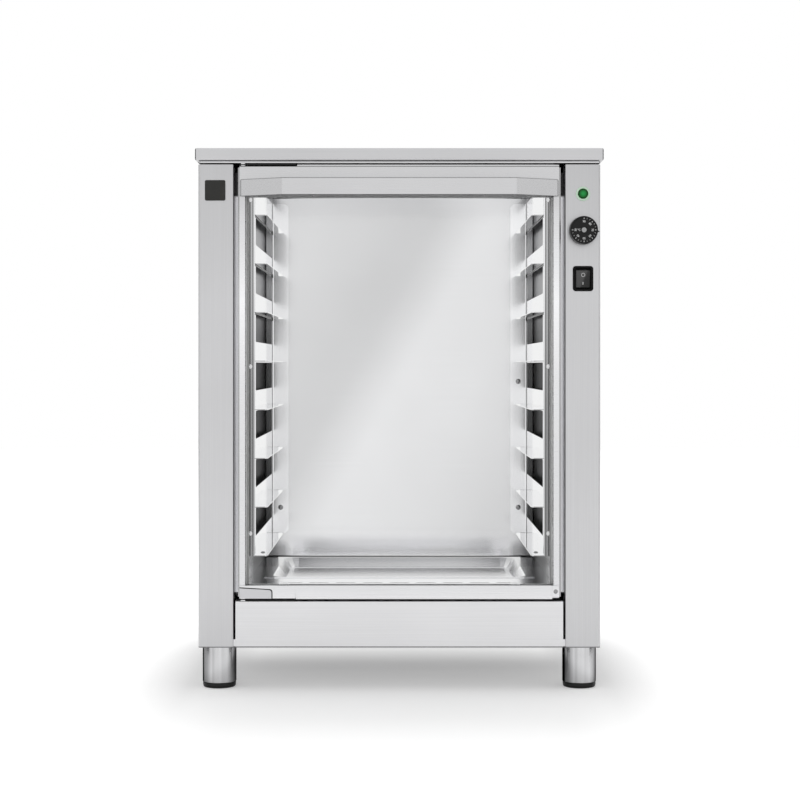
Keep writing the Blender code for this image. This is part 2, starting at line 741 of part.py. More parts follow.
def make_rear_panel():
    """The flat cover at the back, with two fields of vent slots and the hole for the gland."""
    half = BODY_WIDTH / 2 - REAR_SIDE_INSET
    bottom, top = BODY_BOTTOM + REAR_END_INSET, PILLAR_TOP - REAR_END_INSET
    outlines = [rectangle(-half, bottom, half, top, REAR_CORNER)]
    outlines.append(circle(GLAND_X, GLAND_HEIGHT, GLAND_BARREL + GAP))
    for column in range(VENT_COLUMNS):
        across = (column - (VENT_COLUMNS - 1) / 2) * VENT_PITCH_ACROSS
        for row in range(VENT_ROWS):
            up = VENT_END_INSET + row * VENT_PITCH_UP
            outlines.append(obround(across, top - up, VENT_LENGTH, VENT_WIDTH))
            outlines.append(obround(across, CHAMBER_FLOOR + up, VENT_LENGTH, VENT_WIDTH))
    start = y_at(BODY_REAR + GAP)
    outline_solid("rear_panel", outlines, "Y", start, start + SHEET, PANEL_STEEL)


# Chamber


def make_chamber_wall(name, side):
    """A chamber side, its front flange turned out behind the pillar and its rear flange turned out."""
    inner = side * CHAMBER_HALF
    front, rear = y_at(CHAMBER_FRONT), y_at(CHAMBER_REAR + BACK_FLANGE)
    path = [
        (inner + side * WALL_FRONT_FLANGE, front),
        (inner, front),
        (inner, rear),
        (inner + side * WALL_REAR_FLANGE, rear),
    ]
    inside = (inner + side * WALL_FRONT_FLANGE, (front + rear) / 2, CHAMBER_FLOOR)
    bottom, top = CHAMBER_FLOOR - WALL_BELOW_FLOOR, CHAMBER_CEILING - GAP
    folded_sheet(name, path, "Z", bottom, top, SHEET, inside, WALL_STEEL)


def make_chamber_ceiling():
    """The chamber's top, its front flange turned up to the roof panel."""
    half = CHAMBER_HALF + SHEET
    path = [
        (y_at(CHAMBER_FRONT), ROOF_TOP - SHEET - GAP),
        (y_at(CHAMBER_FRONT), CHAMBER_CEILING),
        (y_at(CHAMBER_REAR + BACK_FLANGE), CHAMBER_CEILING),
    ]
    inside = (0, y_at(CHAMBER_REAR), ROOF_TOP)
    folded_sheet("chamber_ceiling", path, "X", -half, half, SHEET, inside, CHAMBER_STEEL)


def make_chamber_back_wall():
    """The chamber's back, a tray whose flanges point to the rear."""
    bottom, top = CHAMBER_FLOOR + GAP, CHAMBER_CEILING - GAP
    section = [(0, BACK_FLANGE), (0, 0), (PILLAR_WIDTH, 0)]
    wall = folded_tray(
        "chamber_back_wall",
        (0, 0),
        CHAMBER_HALF - GAP,
        (top - bottom) / 2,
        BACK_CORNER,
        section,
        SHEET,
        (0, 0, BACK_FLANGE),
        CHAMBER_STEEL,
    )
    wall.rotation_euler = (math.radians(-90), 0, 0)
    wall.location = (0, y_at(CHAMBER_REAR), (bottom + top) / 2)


def make_chamber_sill():
    """The front strip of the floor, with a folded apron, a row of slots and a low bead at its rear."""
    half = CHAMBER_HALF - GAP
    front, rear = y_at(CHAMBER_FRONT), y_at(CHAMBER_FRONT + SILL_DEPTH)
    path = [(front, CHAMBER_FLOOR - SILL_APRON), (front, CHAMBER_FLOOR), (rear, CHAMBER_FLOOR)]
    sill = folded_sheet("chamber_sill", path, "X", -half, half, SHEET, (0, rear, 0), CHAMBER_STEEL)
    slot_y = y_at(CHAMBER_FRONT + SLOT_FROM_FRONT)
    low, high = CHAMBER_FLOOR - OVERRUN, CHAMBER_FLOOR + OVERRUN
    for index in range(SLOT_COUNT):
        across = (index - (SLOT_COUNT - 1) / 2) * SLOT_PITCH
        outline = obround(across, slot_y, SLOT_LENGTH, SLOT_WIDTH)
        cut(sill, outline_solid(f"slot_{index + 1}", [outline], "Z", low, high, cutter=True))
    end, taper = BEAD_LENGTH / 2, BEAD_LENGTH / 2 - BEAD_TAPER
    bead_rear = rear - BEAD_WIDTH / 2
    bead = [(-end, bead_rear), (-taper, bead_rear - BEAD_WIDTH), (taper, bead_rear - BEAD_WIDTH), (end, bead_rear)]
    low, high = CHAMBER_FLOOR - SHEET / 2, CHAMBER_FLOOR + BEAD_HEIGHT
    join(sill, outline_solid("sill_bead", [bead], "Z", low, high, cutter=True))


def make_chamber_floor():
    """The floor pan with the water basin pressed into it."""
    middle = (0, y_at((PAN_FRONT + PAN_REAR) / 2))
    rings = [(middle, CHAMBER_HALF - GAP, (PAN_REAR - PAN_FRONT) / 2, SHEET_FOLD / 2, CHAMBER_FLOOR)]
    front, rear = PAN_FRONT + BASIN_FRONT_MARGIN, PAN_REAR - BASIN_REAR_MARGIN
    centre = (0, y_at((front + rear) / 2))
    half_u, half_v = BASIN_WIDTH / 2, (rear - front) / 2
    bottom = CHAMBER_FLOOR - BASIN_DEPTH
    section = [
        (-BASIN_ROLL, CHAMBER_FLOOR),
        (0, CHAMBER_FLOOR),
        (BASIN_SLOPE, bottom),
        (BASIN_SLOPE + BASIN_CORNER / 4, bottom),
    ]
    for inset, height in rounded_path(section, BASIN_ROLL, CORNER_STEPS):
        rings.append((centre, half_u - inset, half_v - inset, BASIN_CORNER - inset, height))
    floor = lofted("chamber_floor", rings, CHAMBER_STEEL)
    thicken(floor, SHEET, (0, centre[1], -TOTAL_HEIGHT))


# Tray racks


def ledge_heights():
    return [LEDGE_TOP - index * LEDGE_PITCH for index in range(LEDGE_COUNT)]


def make_rack(name, side):
    """A folded sheet that carries the trays: the ledges are bent in, with a punched window under each."""
    inner = side * RACK_HALF
    front, rear = y_at(RACK_FRONT), y_at(RACK_BACK - RACK_SHEET)
    ledge_edge = inner - side * LEDGE_REACH
    flange_edge = side * (CHAMBER_HALF - GAP)
    path = [(flange_edge, front), (inner, front), (inner, rear), (inner - side * RACK_REAR_FLANGE, rear)]
    bottom = ledge_heights()[-1] - RACK_SHEET
    inside = (flange_edge, y_at(CHAMBER_REAR + BACK_FLANGE), bottom)
    rack = folded_sheet(name, path, "Z", bottom, RACK_TOP, RACK_SHEET, inside, RACK_STEEL)
    # Windows from the sheet's front strip to its rear strip
    low_y, high_y = front + WINDOW_MARGIN, rear - WINDOW_MARGIN
    across = sorted((inner - side * OVERRUN, inner + side * (RACK_SHEET + OVERRUN)))
    for index, height in enumerate(ledge_heights()[:-1]):
        top = height - RACK_SHEET - WINDOW_BELOW_LEDGE
        outline = rectangle(low_y, top - WINDOW_HEIGHT, high_y, top, WINDOW_CORNER, FOLD_STEPS)
        cut(rack, outline_solid(f"{name}_window_{index + 1}", [outline], "X", *across, cutter=True))
    # Ledges reach into the sheet, and their inner corners are rounded
    root = inner + side * RACK_SHEET / 2
    far_y = rear - LEDGE_REAR_MARGIN
    points = [(ledge_edge, front), (ledge_edge, far_y)]
    corners = rounded_path([(root, front), *points, (root, far_y)], LEDGE_CORNER)
    for index, height in enumerate(ledge_heights()):
        ledge = outline_solid(f"{name}_ledge_{index + 1}", [corners], "Z", height - RACK_SHEET, height, cutter=True)
        join(rack, ledge)
    # The rear flange is cropped at its two free corners
    flange_inner = inner - side * RACK_REAR_FLANGE
    for index, corner_z in enumerate((bottom, RACK_TOP)):
        inward = 1 if corner_z == bottom else -1
        crop = [
            (flange_inner - side * OVERRUN, corner_z - inward * OVERRUN),
            (flange_inner + side * (RACK_CORNER_CUT + OVERRUN), corner_z - inward * OVERRUN),
            (flange_inner - side * OVERRUN, corner_z + inward * (RACK_CORNER_CUT + OVERRUN)),
        ]
        start, stop = rear - LEDGE_REAR_MARGIN / 2, rear + RACK_SHEET + OVERRUN
        cut(rack, outline_solid(f"{name}_crop_{index + 1}", [crop], "Y", start, stop, cutter=True))


# Door


def hang_on(pivot, obj):
    """Parents a piece to its joint's empty and leaves the piece where it is."""
    obj.location = Vector(obj.location) - pivot.location
    obj.parent = pivot


def make_pivot(name, point):
    pivot = bpy.data.objects.new(name, None)
    pivot.location = point
    PARTS.objects.link(pivot)
    return pivot


def pivot_hole(name, start, stop):
    radius = HINGE_PIN_RADIUS + PIN_HOLE_CLEARANCE
    outline = circle(HINGE_X, y_at(HINGE_DEPTH), radius)
    return outline_solid(name, [outline], "Z", start, stop, cutter=True)


def make_door_rails():
    """Two channels that cap the stiles' ends, each with its pivot hole."""
    half = DOOR_HALF - RAIL_SHORTER
    front, rear = y_at(DOOR_SETBACK), y_at(DOOR_REAR)
    middle = (front + rear) / 2
    top_low = DOOR_TOP - TOP_RAIL_HEIGHT
    path = [(front, top_low), (front, DOOR_TOP), (rear, DOOR_TOP), (rear, top_low)]
    top = folded_sheet("door_top_rail", path, "X", -half, half, DOOR_SHEET, (0, middle, top_low), DOOR_STEEL)
    cut(top, pivot_hole("top_pivot_hole", DOOR_TOP - OVERRUN, DOOR_TOP + OVERRUN))
    # The strip that closes the gap above the door starts beside the upper hinge plate
    strip_start = HINGE_X + HINGE_PLATE_LENGTH + TOP_STRIP_CLEARANCE
    strip_low = (strip_start, y_at(STILE_FRONT), DOOR_TOP - DOOR_SHEET / 2)
    strip_high = (half, y_at(STILE_FRONT + DOOR_SHEET), DOOR_TOP + TOP_STRIP_RISE)
    join(top, block_cutter("top_strip", strip_low, strip_high))
    bottom_high = DOOR_BOTTOM + BOTTOM_RAIL_HEIGHT
    path = [(front, bottom_high), (front, DOOR_BOTTOM), (rear, DOOR_BOTTOM), (rear, bottom_high)]
    inside = (0, middle, bottom_high)
    bottom = folded_sheet("door_bottom_rail", path, "X", -half, half, DOOR_SHEET, inside, DOOR_STEEL)
    cut(bottom, pivot_hole("bottom_pivot_hole", DOOR_BOTTOM - OVERRUN, DOOR_BOTTOM + OVERRUN))
    return [top, bottom]


def make_door_stile(name, side):
    """A channel that opens towards the glass and holds its edge."""
    outer = side * DOOR_HALF
    inner = outer - side * STILE_FACE
    front, rear = y_at(STILE_FRONT), y_at(STILE_REAR)
    path = [(inner, front), (outer, front), (outer, rear), (inner, rear)]
    end = DOOR_SHEET + STILE_END_CLEARANCE
    inside = (inner, (front + rear) / 2, DOOR_TOP)
    return folded_sheet(name, path, "Z", DOOR_BOTTOM + end, DOOR_TOP - end, DOOR_SHEET, inside, DOOR_STEEL)


def make_door_glass():
    half = DOOR_HALF - DOOR_SHEET - GLASS_EDGE_CLEARANCE
    outline = rectangle(-half, GLASS_BOTTOM, half, GLASS_TOP)
    return outline_solid("door_glass", [outline], "Y", y_at(GLASS_FRONT), y_at(GLASS_REAR), DOOR_GLASS)


def make_door_gasket():
    """The magnetic seal, a ring on the back of the door that meets the chamber's flanges."""
    inner_low = CHAMBER_FLOOR - GASKET_FLOOR_COVER
    inner_high = CHAMBER_CEILING - GASKET_CEILING_COVER
    outer = rectangle(
        -GASKET_INSIDE - GASKET_WIDTH,
        inner_low - GASKET_WIDTH,
        GASKET_INSIDE + GASKET_WIDTH,
        inner_high + GASKET_WIDTH,
        GASKET_CORNER,
    )
    inner = rectangle(-GASKET_INSIDE, inner_low, GASKET_INSIDE, inner_high, GASKET_CORNER)
    start, stop = y_at(DOOR_REAR + GAP), y_at(CHAMBER_FRONT - GAP)
    return outline_solid("door_gasket", [outer, inner], "Y", start, stop, GASKET_RUBBER)


def make_door_handle():
    """The bow handle: a folded strip, flat in the middle and sloping back to the rail, closed on top."""
    bottom = HANDLE_TOP - HANDLE_HEIGHT
    front, plane = y_at(HANDLE_FRONT), y_at(DOOR_SETBACK + HANDLE_SHEET)
    flat = HANDLE_FLAT_END
    end = HANDLE_END + HANDLE_SLOPE_LENGTH * (HANDLE_SHEET + GAP) / (HANDLE_PROUD - GAP)
    bow = rounded_path([(-end, plane), (-flat, front), (flat, front), (end, plane)], HANDLE_BEND, CORNER_STEPS)
    shape = bmesh.new()
    row = [shape.verts.new((x, y, bottom)) for x, y in bow]
    edges = [shape.edges.new(pair) for pair in zip(row, row[1:])]
    pulled = bmesh.ops.extrude_edge_only(shape, edges=edges)["geom"]
    raised = [item for item in pulled if isinstance(item, bmesh.types.BMVert)]
    rim = [item for item in pulled if isinstance(item, bmesh.types.BMEdge)]
    bmesh.ops.translate(shape, vec=(0, 0, HANDLE_HEIGHT), verts=raised)
    raised.sort(key=lambda vert: vert.co.x)
    shape.faces.new(raised)
    bmesh.ops.recalc_face_normals(shape, faces=shape.faces)
    fold = [edge for edge in rim if len(edge.link_faces) == 2]
    bmesh.ops.bevel(
        shape, geom=fold, offset=HANDLE_FOLD, segments=FOLD_STEPS, profile=0.5, affect="EDGES", material=-1
    )
    handle = from_bmesh("door_handle", shape, DOOR_STEEL)
    thicken(handle, HANDLE_SHEET, (0, y_at(DOOR_SETBACK), bottom))
    seat = block_cutter(
        "handle_seat",
        (-end - OVERRUN, y_at(DOOR_SETBACK - GAP), bottom - OVERRUN),
        (end + OVERRUN, y_at(DOOR_REAR), HANDLE_TOP + OVERRUN),
    )
    cut(handle, seat)
    return handle


def make_glass_clip(name, across):
    """A small angle in the bottom rail that holds the pane's lower edge from behind."""
    top = DOOR_BOTTOM + BOTTOM_RAIL_HEIGHT + CLIP_ABOVE_RAIL
    foot = DOOR_BOTTOM + BOTTOM_RAIL_HEIGHT - CLIP_IN_RAIL
    pane = y_at(GLASS_REAR + GAP)
    path = [(pane, top), (pane, foot), (y_at(DOOR_REAR - DOOR_SHEET - GAP), foot)]
    start, stop = across - CLIP_WIDTH / 2, across + CLIP_WIDTH / 2
    inside = (0, y_at(DOOR_REAR), top)
    return folded_sheet(name, path, "X", start, stop, DOOR_SHEET, inside, PIN_STEEL)


def make_hinge_arm():
    """The proud arm at the door's lower left corner, on a thinner backing plate."""
    left = -(DOOR_HALF - RAIL_SHORTER)
    seat = y_at(DOOR_SETBACK - GAP)
    backing_face = seat - BACKING_THICK
    outline = rectangle(left, DOOR_BOTTOM, left + BACKING_LENGTH, DOOR_BOTTOM + BOTTOM_RAIL_HEIGHT)
    backing = outline_solid("hinge_backing_plate", [outline], "Y", backing_face, seat, DOOR_STEEL)
    right = left + ARM_LENGTH
    top = DOOR_BOTTOM + ARM_HEIGHT
    low_corner = rounded_path([(left, top), (right, top - ARM_RISE), (right, DOOR_BOTTOM)], ARM_CORNER, CORNER_STEPS)
    arm = [*low_corner, (left, DOOR_BOTTOM)]
    stop = backing_face - GAP
    return [backing, outline_solid("hinge_arm", [arm], "Y", stop - ARM_THICK, stop, HINGE_STEEL)]


def make_end_plate():
    right = DOOR_HALF - RAIL_SHORTER
    top = DOOR_BOTTOM + BOTTOM_RAIL_HEIGHT
    outline = rectangle(right - END_PLATE_WIDTH, top - END_PLATE_HEIGHT, right, top)
    stop = y_at(DOOR_SETBACK - GAP)
    return outline_solid("rail_end_plate", [outline], "Y", stop - END_PLATE_THICK, stop, DOOR_STEEL)


def make_door():
    pivot = make_pivot("door_pivot", (HINGE_X, y_at(HINGE_DEPTH), DOOR_BOTTOM))
    pieces = make_door_rails()
    pieces.append(make_door_stile("door_left_stile", -1))
    pieces.append(make_door_stile("door_right_stile", 1))
    pieces.append(make_door_glass())
    pieces.append(make_door_gasket())
    pieces.append(make_door_handle())
    pieces.append(make_glass_clip("glass_clip_left", -CLIP_OFFSET))
    pieces.append(make_glass_clip("glass_clip_right", CLIP_OFFSET))
    pieces.extend(make_hinge_arm())
    pieces.append(make_end_plate())
    for piece in pieces:
        hang_on(pivot, piece)


# Hinges on the body


def make_hinge(name, plate_low, pin_up):
    """A flat plate with a thinned eye, and the headed pin that the door turns on."""
    axis = (HINGE_X, y_at(HINGE_DEPTH))
    rear = y_at(CHAMBER_FRONT - GAP)
    front = y_at(HINGE_DEPTH) - HINGE_EYE_RADIUS
    right = HINGE_X + HINGE_PLATE_LENGTH
    steps = ROUND_STEPS // 2
    eye = []
    for step in range(steps + 1):
        turn = math.radians(-90) - math.pi / 2 * step / steps
        eye.append((axis[0] + HINGE_EYE_RADIUS * math.cos(turn), axis[1] + HINGE_EYE_RADIUS * math.sin(turn)))
    outline = [*eye, (HINGE_X - HINGE_EYE_RADIUS, rear), (right, rear), (right, front)]
    hole = circle(*axis, HINGE_PIN_RADIUS + GAP)
    plate_high = plate_low + HINGE_PLATE_THICK
    plate = outline_solid(name + "_plate", [outline, hole], "Z", plate_low, plate_high, HINGE_STEEL)
    # The recess for the pin's head lies on the side away from the door
    recess_radius = HINGE_EYE_RADIUS + GAP
    if pin_up:
        recess = (plate_low - OVERRUN, plate_high - HINGE_EYE_THICK)
        head_outer, head_inner = plate_low, plate_low + PIN_HEAD_THICK
        tip = DOOR_BOTTOM + HINGE_PIN_ENGAGED
    else:
        recess = (plate_low + HINGE_EYE_THICK, plate_high + OVERRUN)
        head_outer, head_inner = plate_high, plate_high - PIN_HEAD_THICK
        tip = DOOR_TOP - HINGE_PIN_ENGAGED
    corner = [
        (axis[0] - recess_radius - OVERRUN, front - OVERRUN),
        (axis[0] + recess_radius, front - OVERRUN),
        (axis[0] + recess_radius, axis[1] + recess_radius),
        (axis[0] - recess_radius - OVERRUN, axis[1] + recess_radius),
    ]
    cut(plate, outline_solid(name + "_recess", [corner], "Z", *recess, cutter=True))
    thick = abs(head_inner - head_outer)
    length = abs(tip - head_outer)
    # A collar on the pin fills the gap between the plate and the door
    collar_low = HINGE_PLATE_THICK + GAP
    collar_high = HINGE_PLATE_THICK + DOOR_END_GAP - GAP
    profile = [
        (0, length),
        (HINGE_PIN_RADIUS - PIN_HOLE_CLEARANCE, length),
        (HINGE_PIN_RADIUS, length - PIN_HOLE_CLEARANCE),
        (HINGE_PIN_RADIUS, collar_high),
        (HINGE_EYE_RADIUS, collar_high),
        (HINGE_EYE_RADIUS, collar_low),
        (HINGE_PIN_RADIUS, collar_low),
        (HINGE_PIN_RADIUS, thick),
        (HINGE_EYE_RADIUS, thick),
        (HINGE_EYE_RADIUS, 0),
        (0, 0),
    ]
    direction = (0, 0, 1) if pin_up else (0, 0, -1)
    turned(name + "_pin", profile, (*axis, head_outer), direction, PIN_STEEL, steps=ROUND_STEPS // 2)


# Controls


def make_lamp():
    """The pilot lamp: a pale ring with a barrel through the pillar, and the domed lens in it."""
    seat = LAMP_RING_PROUD
    barrel = LAMP_LENS_RADIUS + GAP + LAMP_BARREL_WALL
    bore = LAMP_LENS_RADIUS + GAP
    ring = [
        (LAMP_RING_RADIUS - seat / 2, seat),
        (LAMP_RING_RADIUS, seat / 2),
        (LAMP_RING_RADIUS, 0),
        (barrel, 0),
        (barrel, -LAMP_BARREL_LENGTH),
        (bore, -LAMP_BARREL_LENGTH),
        (bore, seat),
    ]
    foot = (CONTROL_X, y_at(PILLAR_FACE), LAMP_HEIGHT)
    outward = (0, -1, 0)
    turned("lamp_ring", ring, foot, outward, LAMP_RING_PLASTIC, closed=True)
    lens = []
    for step in range(CORNER_STEPS + 1):
        turn = math.pi / 2 * step / CORNER_STEPS
        lens.append((LAMP_LENS_RADIUS * math.sin(turn), seat + LAMP_DOME * math.cos(turn)))
    lens.append((LAMP_LENS_RADIUS, -LAMP_BARREL_LENGTH))
    lens.append((0, -LAMP_BARREL_LENGTH))
    turned("lamp_lens", lens, foot, outward, LAMP_LENS)


def make_thermostat():
    """The knob with its shaft, and the thermostat's body behind the pillar."""
    centre = Vector((CONTROL_X, y_at(PILLAR_FACE), KNOB_HEIGHT))
    bore = SHAFT_RADIUS + GAP
    back = KNOB_LIFT
    knob = [
        (0, KNOB_PROUD - KNOB_DISH),
        (KNOB_RADIUS - KNOB_SKIRT - 2 * KNOB_DISH, KNOB_PROUD - KNOB_DISH),
        (KNOB_RADIUS - KNOB_SKIRT, KNOB_PROUD),
        (KNOB_RADIUS - KNOB_CHAMFER, KNOB_PROUD),
        (KNOB_RADIUS, KNOB_PROUD - KNOB_CHAMFER),
        (KNOB_RADIUS, back),
        (bore, back),
        (bore, back + KNOB_BORE_DEPTH),
        (0, back + KNOB_BORE_DEPTH),
    ]
    turned("thermostat_knob", knob, centre, (0, -1, 0), CONTROL_PLASTIC)
    body_front = PILLAR_SETBACK + SHEET + GAP
    tip = back + KNOB_BORE_DEPTH - GAP
    tail = body_front + SHAFT_ENGAGED - PILLAR_FACE
    shaft = [(0, tip), (SHAFT_RADIUS, tip), (SHAFT_RADIUS, -tail), (0, -tail)]
    turned("thermostat_shaft", shaft, centre, (0, -1, 0), PIN_STEEL, steps=ROUND_STEPS // 2)
    half = THERMOSTAT_SIZE / 2
    outer = rectangle(
        CONTROL_X - half, KNOB_HEIGHT - half, CONTROL_X + half, KNOB_HEIGHT + half, THERMOSTAT_CORNER
    )
    start, stop = y_at(body_front), y_at(body_front + THERMOSTAT_DEPTH)
    body = outline_solid("thermostat_body", [outer], "Y", start, stop, CONTROL_PLASTIC)
    well = circle(CONTROL_X, KNOB_HEIGHT, SHAFT_RADIUS + GAP, ROUND_STEPS // 2)
    well_end = y_at(body_front + SHAFT_ENGAGED + OVERRUN)
    cut(body, outline_solid("thermostat_well", [well], "Y", start - OVERRUN, well_end, cutter=True))


def make_switch():
    """The switch housing with its bezel and pocket, and the rocker that tilts in it."""
    pivot_y = y_at(PILLAR_FACE + ROCKER_PIVOT_DEPTH)
    bezel_back = PILLAR_FACE
    bezel_front = bezel_back - SWITCH_BEZEL_PROUD
    centre = (0, 0)
    half_w, half_h = SWITCH_BEZEL_WIDTH / 2, SWITCH_BEZEL_HEIGHT / 2
    body_w, body_h = SWITCH_BODY_WIDTH / 2, SWITCH_BODY_HEIGHT / 2
    edge = SWITCH_BEZEL_PROUD / 2
    corner = SWITCH_BEZEL_CORNER
    rings = [
        (centre, body_w, body_h, edge, -SWITCH_BODY_DEPTH),
        (centre, body_w, body_h, edge, 0),
        (centre, half_w, half_h, corner, 0),
        (centre, half_w, half_h, corner, edge),
        (centre, half_w - edge, half_h - edge, corner - edge, SWITCH_BEZEL_PROUD),
    ]
    housing = lofted("switch_housing", rings, CONTROL_PLASTIC, cap_first=True)
    housing.rotation_euler = (math.radians(90), 0, 0)
    housing.location = (CONTROL_X, y_at(bezel_back), SWITCH_HEIGHT)
    pocket_w, pocket_h = ROCKER_WIDTH / 2 + GAP, ROCKER_RADIUS + GAP
    pocket = rectangle(
        CONTROL_X - pocket_w, SWITCH_HEIGHT - pocket_h, CONTROL_X + pocket_w, SWITCH_HEIGHT + pocket_h
    )
    # The deepest reach of the rocker's back corner as it tilts either way
    back_corner = math.sqrt(ROCKER_RADIUS**2 - ROCKER_BACK**2)
    swing = 2 * ROCKER_TILT
    reach = ROCKER_BACK * math.cos(swing) + back_corner * math.sin(swing)
    stop = pivot_y + reach + GAP
    cut(housing, outline_solid("switch_pocket", [pocket], "Y", y_at(bezel_front) - OVERRUN, stop, cutter=True))
    # The rocker's ends are arcs round its pivot, so that they clear the pocket at any tilt
    face_end = math.sqrt(ROCKER_RADIUS**2 - ROCKER_FACE**2)
    start_turn = math.atan2(-ROCKER_FACE, face_end)
    end_turn = math.atan2(ROCKER_BACK, back_corner)
    steps = 2 * CORNER_STEPS
    turns = [start_turn + (end_turn - start_turn) * step / steps for step in range(steps + 1)]
    upper = [(ROCKER_RADIUS * math.sin(turn), ROCKER_RADIUS * math.cos(turn)) for turn in turns]
    lower = [(y, -z) for y, z in reversed(upper)]
    outline = [(-ROCKER_VALLEY, 0), *upper, *lower]
    half = ROCKER_WIDTH / 2
    rocker = outline_solid("switch_rocker", [outline], "X", -half, half, CONTROL_PLASTIC)
    rocker.location = (CONTROL_X, pivot_y, SWITCH_HEIGHT)
    rocker.rotation_euler = (ROCKER_TILT, 0, 0)


def make_badge_plate():
    half = BADGE_SIZE / 2
    outline = rectangle(BADGE_X - half, BADGE_HEIGHT - half, BADGE_X + half, BADGE_HEIGHT + half, BADGE_CORNER)
    stop = y_at(PILLAR_FACE)
    outline_solid("badge_plate", [outline], "Y", stop - BADGE_THICK, stop, BADGE_PLASTIC)


# Heating and wiring in the base


def element_run_places():
    return [(index - (ELEMENT_RUNS - 1) / 2) * ELEMENT_RUN_SPACING for index in range(ELEMENT_RUNS)]


def make_heating_element():
    """A tubular element bent to and fro under the basin, both its ends at the rear."""
    bend = ELEMENT_RUN_SPACING / 2
    corners = []
    for index, across in enumerate(element_run_places()):
        rear_end = ELEMENT_REAR if index in (0, ELEMENT_RUNS - 1) else ELEMENT_TURN
        ends = [(across, y_at(rear_end)), (across, y_at(ELEMENT_FRONT))]
        corners.extend(ends if index % 2 == 0 else reversed(ends))
    path = rounded_path(corners, bend, 2 * CORNER_STEPS)
    curve = bpy.data.curves.new("heating_element", "CURVE")
    curve.dimensions = "3D"
    curve.bevel_depth = ELEMENT_RADIUS
    curve.bevel_resolution = 2
    curve.use_fill_caps = True
    spline = curve.splines.new("POLY")
    spline.points.add(len(path) - 1)
    for point, (x, y) in zip(spline.points, path):
        point.co = (x, y, ELEMENT_HEIGHT, 1)
    element = bpy.data.objects.new("heating_element", curve)
    curve.materials.append(ELEMENT_STEEL)
    PARTS.objects.link(element)


def make_element_bracket():
    """An angle on the base panel that holds the element's two ends."""
    half = BRACKET_WIDTH / 2
    foot_z = BASE_TOP + GAP
    plate_y = y_at(BRACKET_FROM_FRONT)
    path = [
        (plate_y, ELEMENT_HEIGHT + ELEMENT_RADIUS + BRACKET_ABOVE_ELEMENT),
        (plate_y, foot_z),
        (plate_y + BRACKET_FOOT, foot_z),
    ]
    inside = (0, plate_y + BRACKET_FOOT, ELEMENT_HEIGHT)
    bracket = folded_sheet(
        "element_bracket", path, "X", -half, half, BRACKET_SHEET, inside, PANEL_STEEL, 2 * BRACKET_SHEET
    )
    places = element_run_places()
    for name, across in (("left", places[0]), ("right", places[-1])):
        outline = circle(across, ELEMENT_HEIGHT, ELEMENT_RADIUS + GAP, ROUND_STEPS // 2)
        start, stop = plate_y - OVERRUN, plate_y + BRACKET_SHEET + OVERRUN
        cut(bracket, outline_solid(f"bracket_hole_{name}", [outline], "Y", start, stop, cutter=True))


def make_terminal_block():
    """A row of terminals on the base panel near the gland."""
    stop = y_at(BODY_REAR - TERMINAL_FROM_REAR)
    low = (TERMINAL_X - TERMINAL_LENGTH / 2, stop - TERMINAL_DEPTH, BASE_TOP + GAP)
    high = (TERMINAL_X + TERMINAL_LENGTH / 2, stop, BASE_TOP + GAP + TERMINAL_HEIGHT)
    terminals = block("terminal_block", low, high, TERMINAL_PLASTIC)
    edges = terminals.modifiers.new("edges", "BEVEL")
    edges.width = TERMINAL_BEVEL
    edges.segments = 1
    middle_y = stop - TERMINAL_DEPTH / 2
    for index in range(TERMINAL_POLES):
        across = TERMINAL_X + (index - (TERMINAL_POLES - 1) / 2) * TERMINAL_LENGTH / TERMINAL_POLES
        outline = circle(across, middle_y, TERMINAL_HOLE_RADIUS, ROUND_STEPS // 4)
        start, end = high[2] - TERMINAL_HOLE_DEPTH, high[2] + OVERRUN
        cut(terminals, outline_solid(f"terminal_hole_{index + 1}", [outline], "Z", start, end, cutter=True))


def make_cable_gland():
    """The gland through the rear panel: cap outside, barrel through the hole, nut inside."""
    inner_face = BODY_REAR
    outer_face = REAR_PANEL_REAR + GAP
    nut_end = inner_face - GLAND_NUT_THICK
    profile = [
        (GLAND_CAP_NOSE, GLAND_REAR),
        (GLAND_CAP, outer_face + GLAND_NUT_THICK + GLAND_CAP_LENGTH / 2),
        (GLAND_CAP, outer_face + GLAND_NUT_THICK),
        (GLAND_NUT, outer_face + GLAND_NUT_THICK),
        (GLAND_NUT, outer_face),
        (GLAND_BARREL, outer_face),
        (GLAND_BARREL, inner_face),
        (GLAND_NUT, inner_face),
        (GLAND_NUT, nut_end),
        (GLAND_BORE, nut_end),
        (GLAND_BORE, GLAND_REAR),
    ]
    foot = (GLAND_X, FRONT_Y, GLAND_HEIGHT)
    turned("cable_gland", profile, foot, (0, 1, 0), CONTROL_PLASTIC, closed=True, steps=ROUND_STEPS * 3 // 4)


# Legs and feet


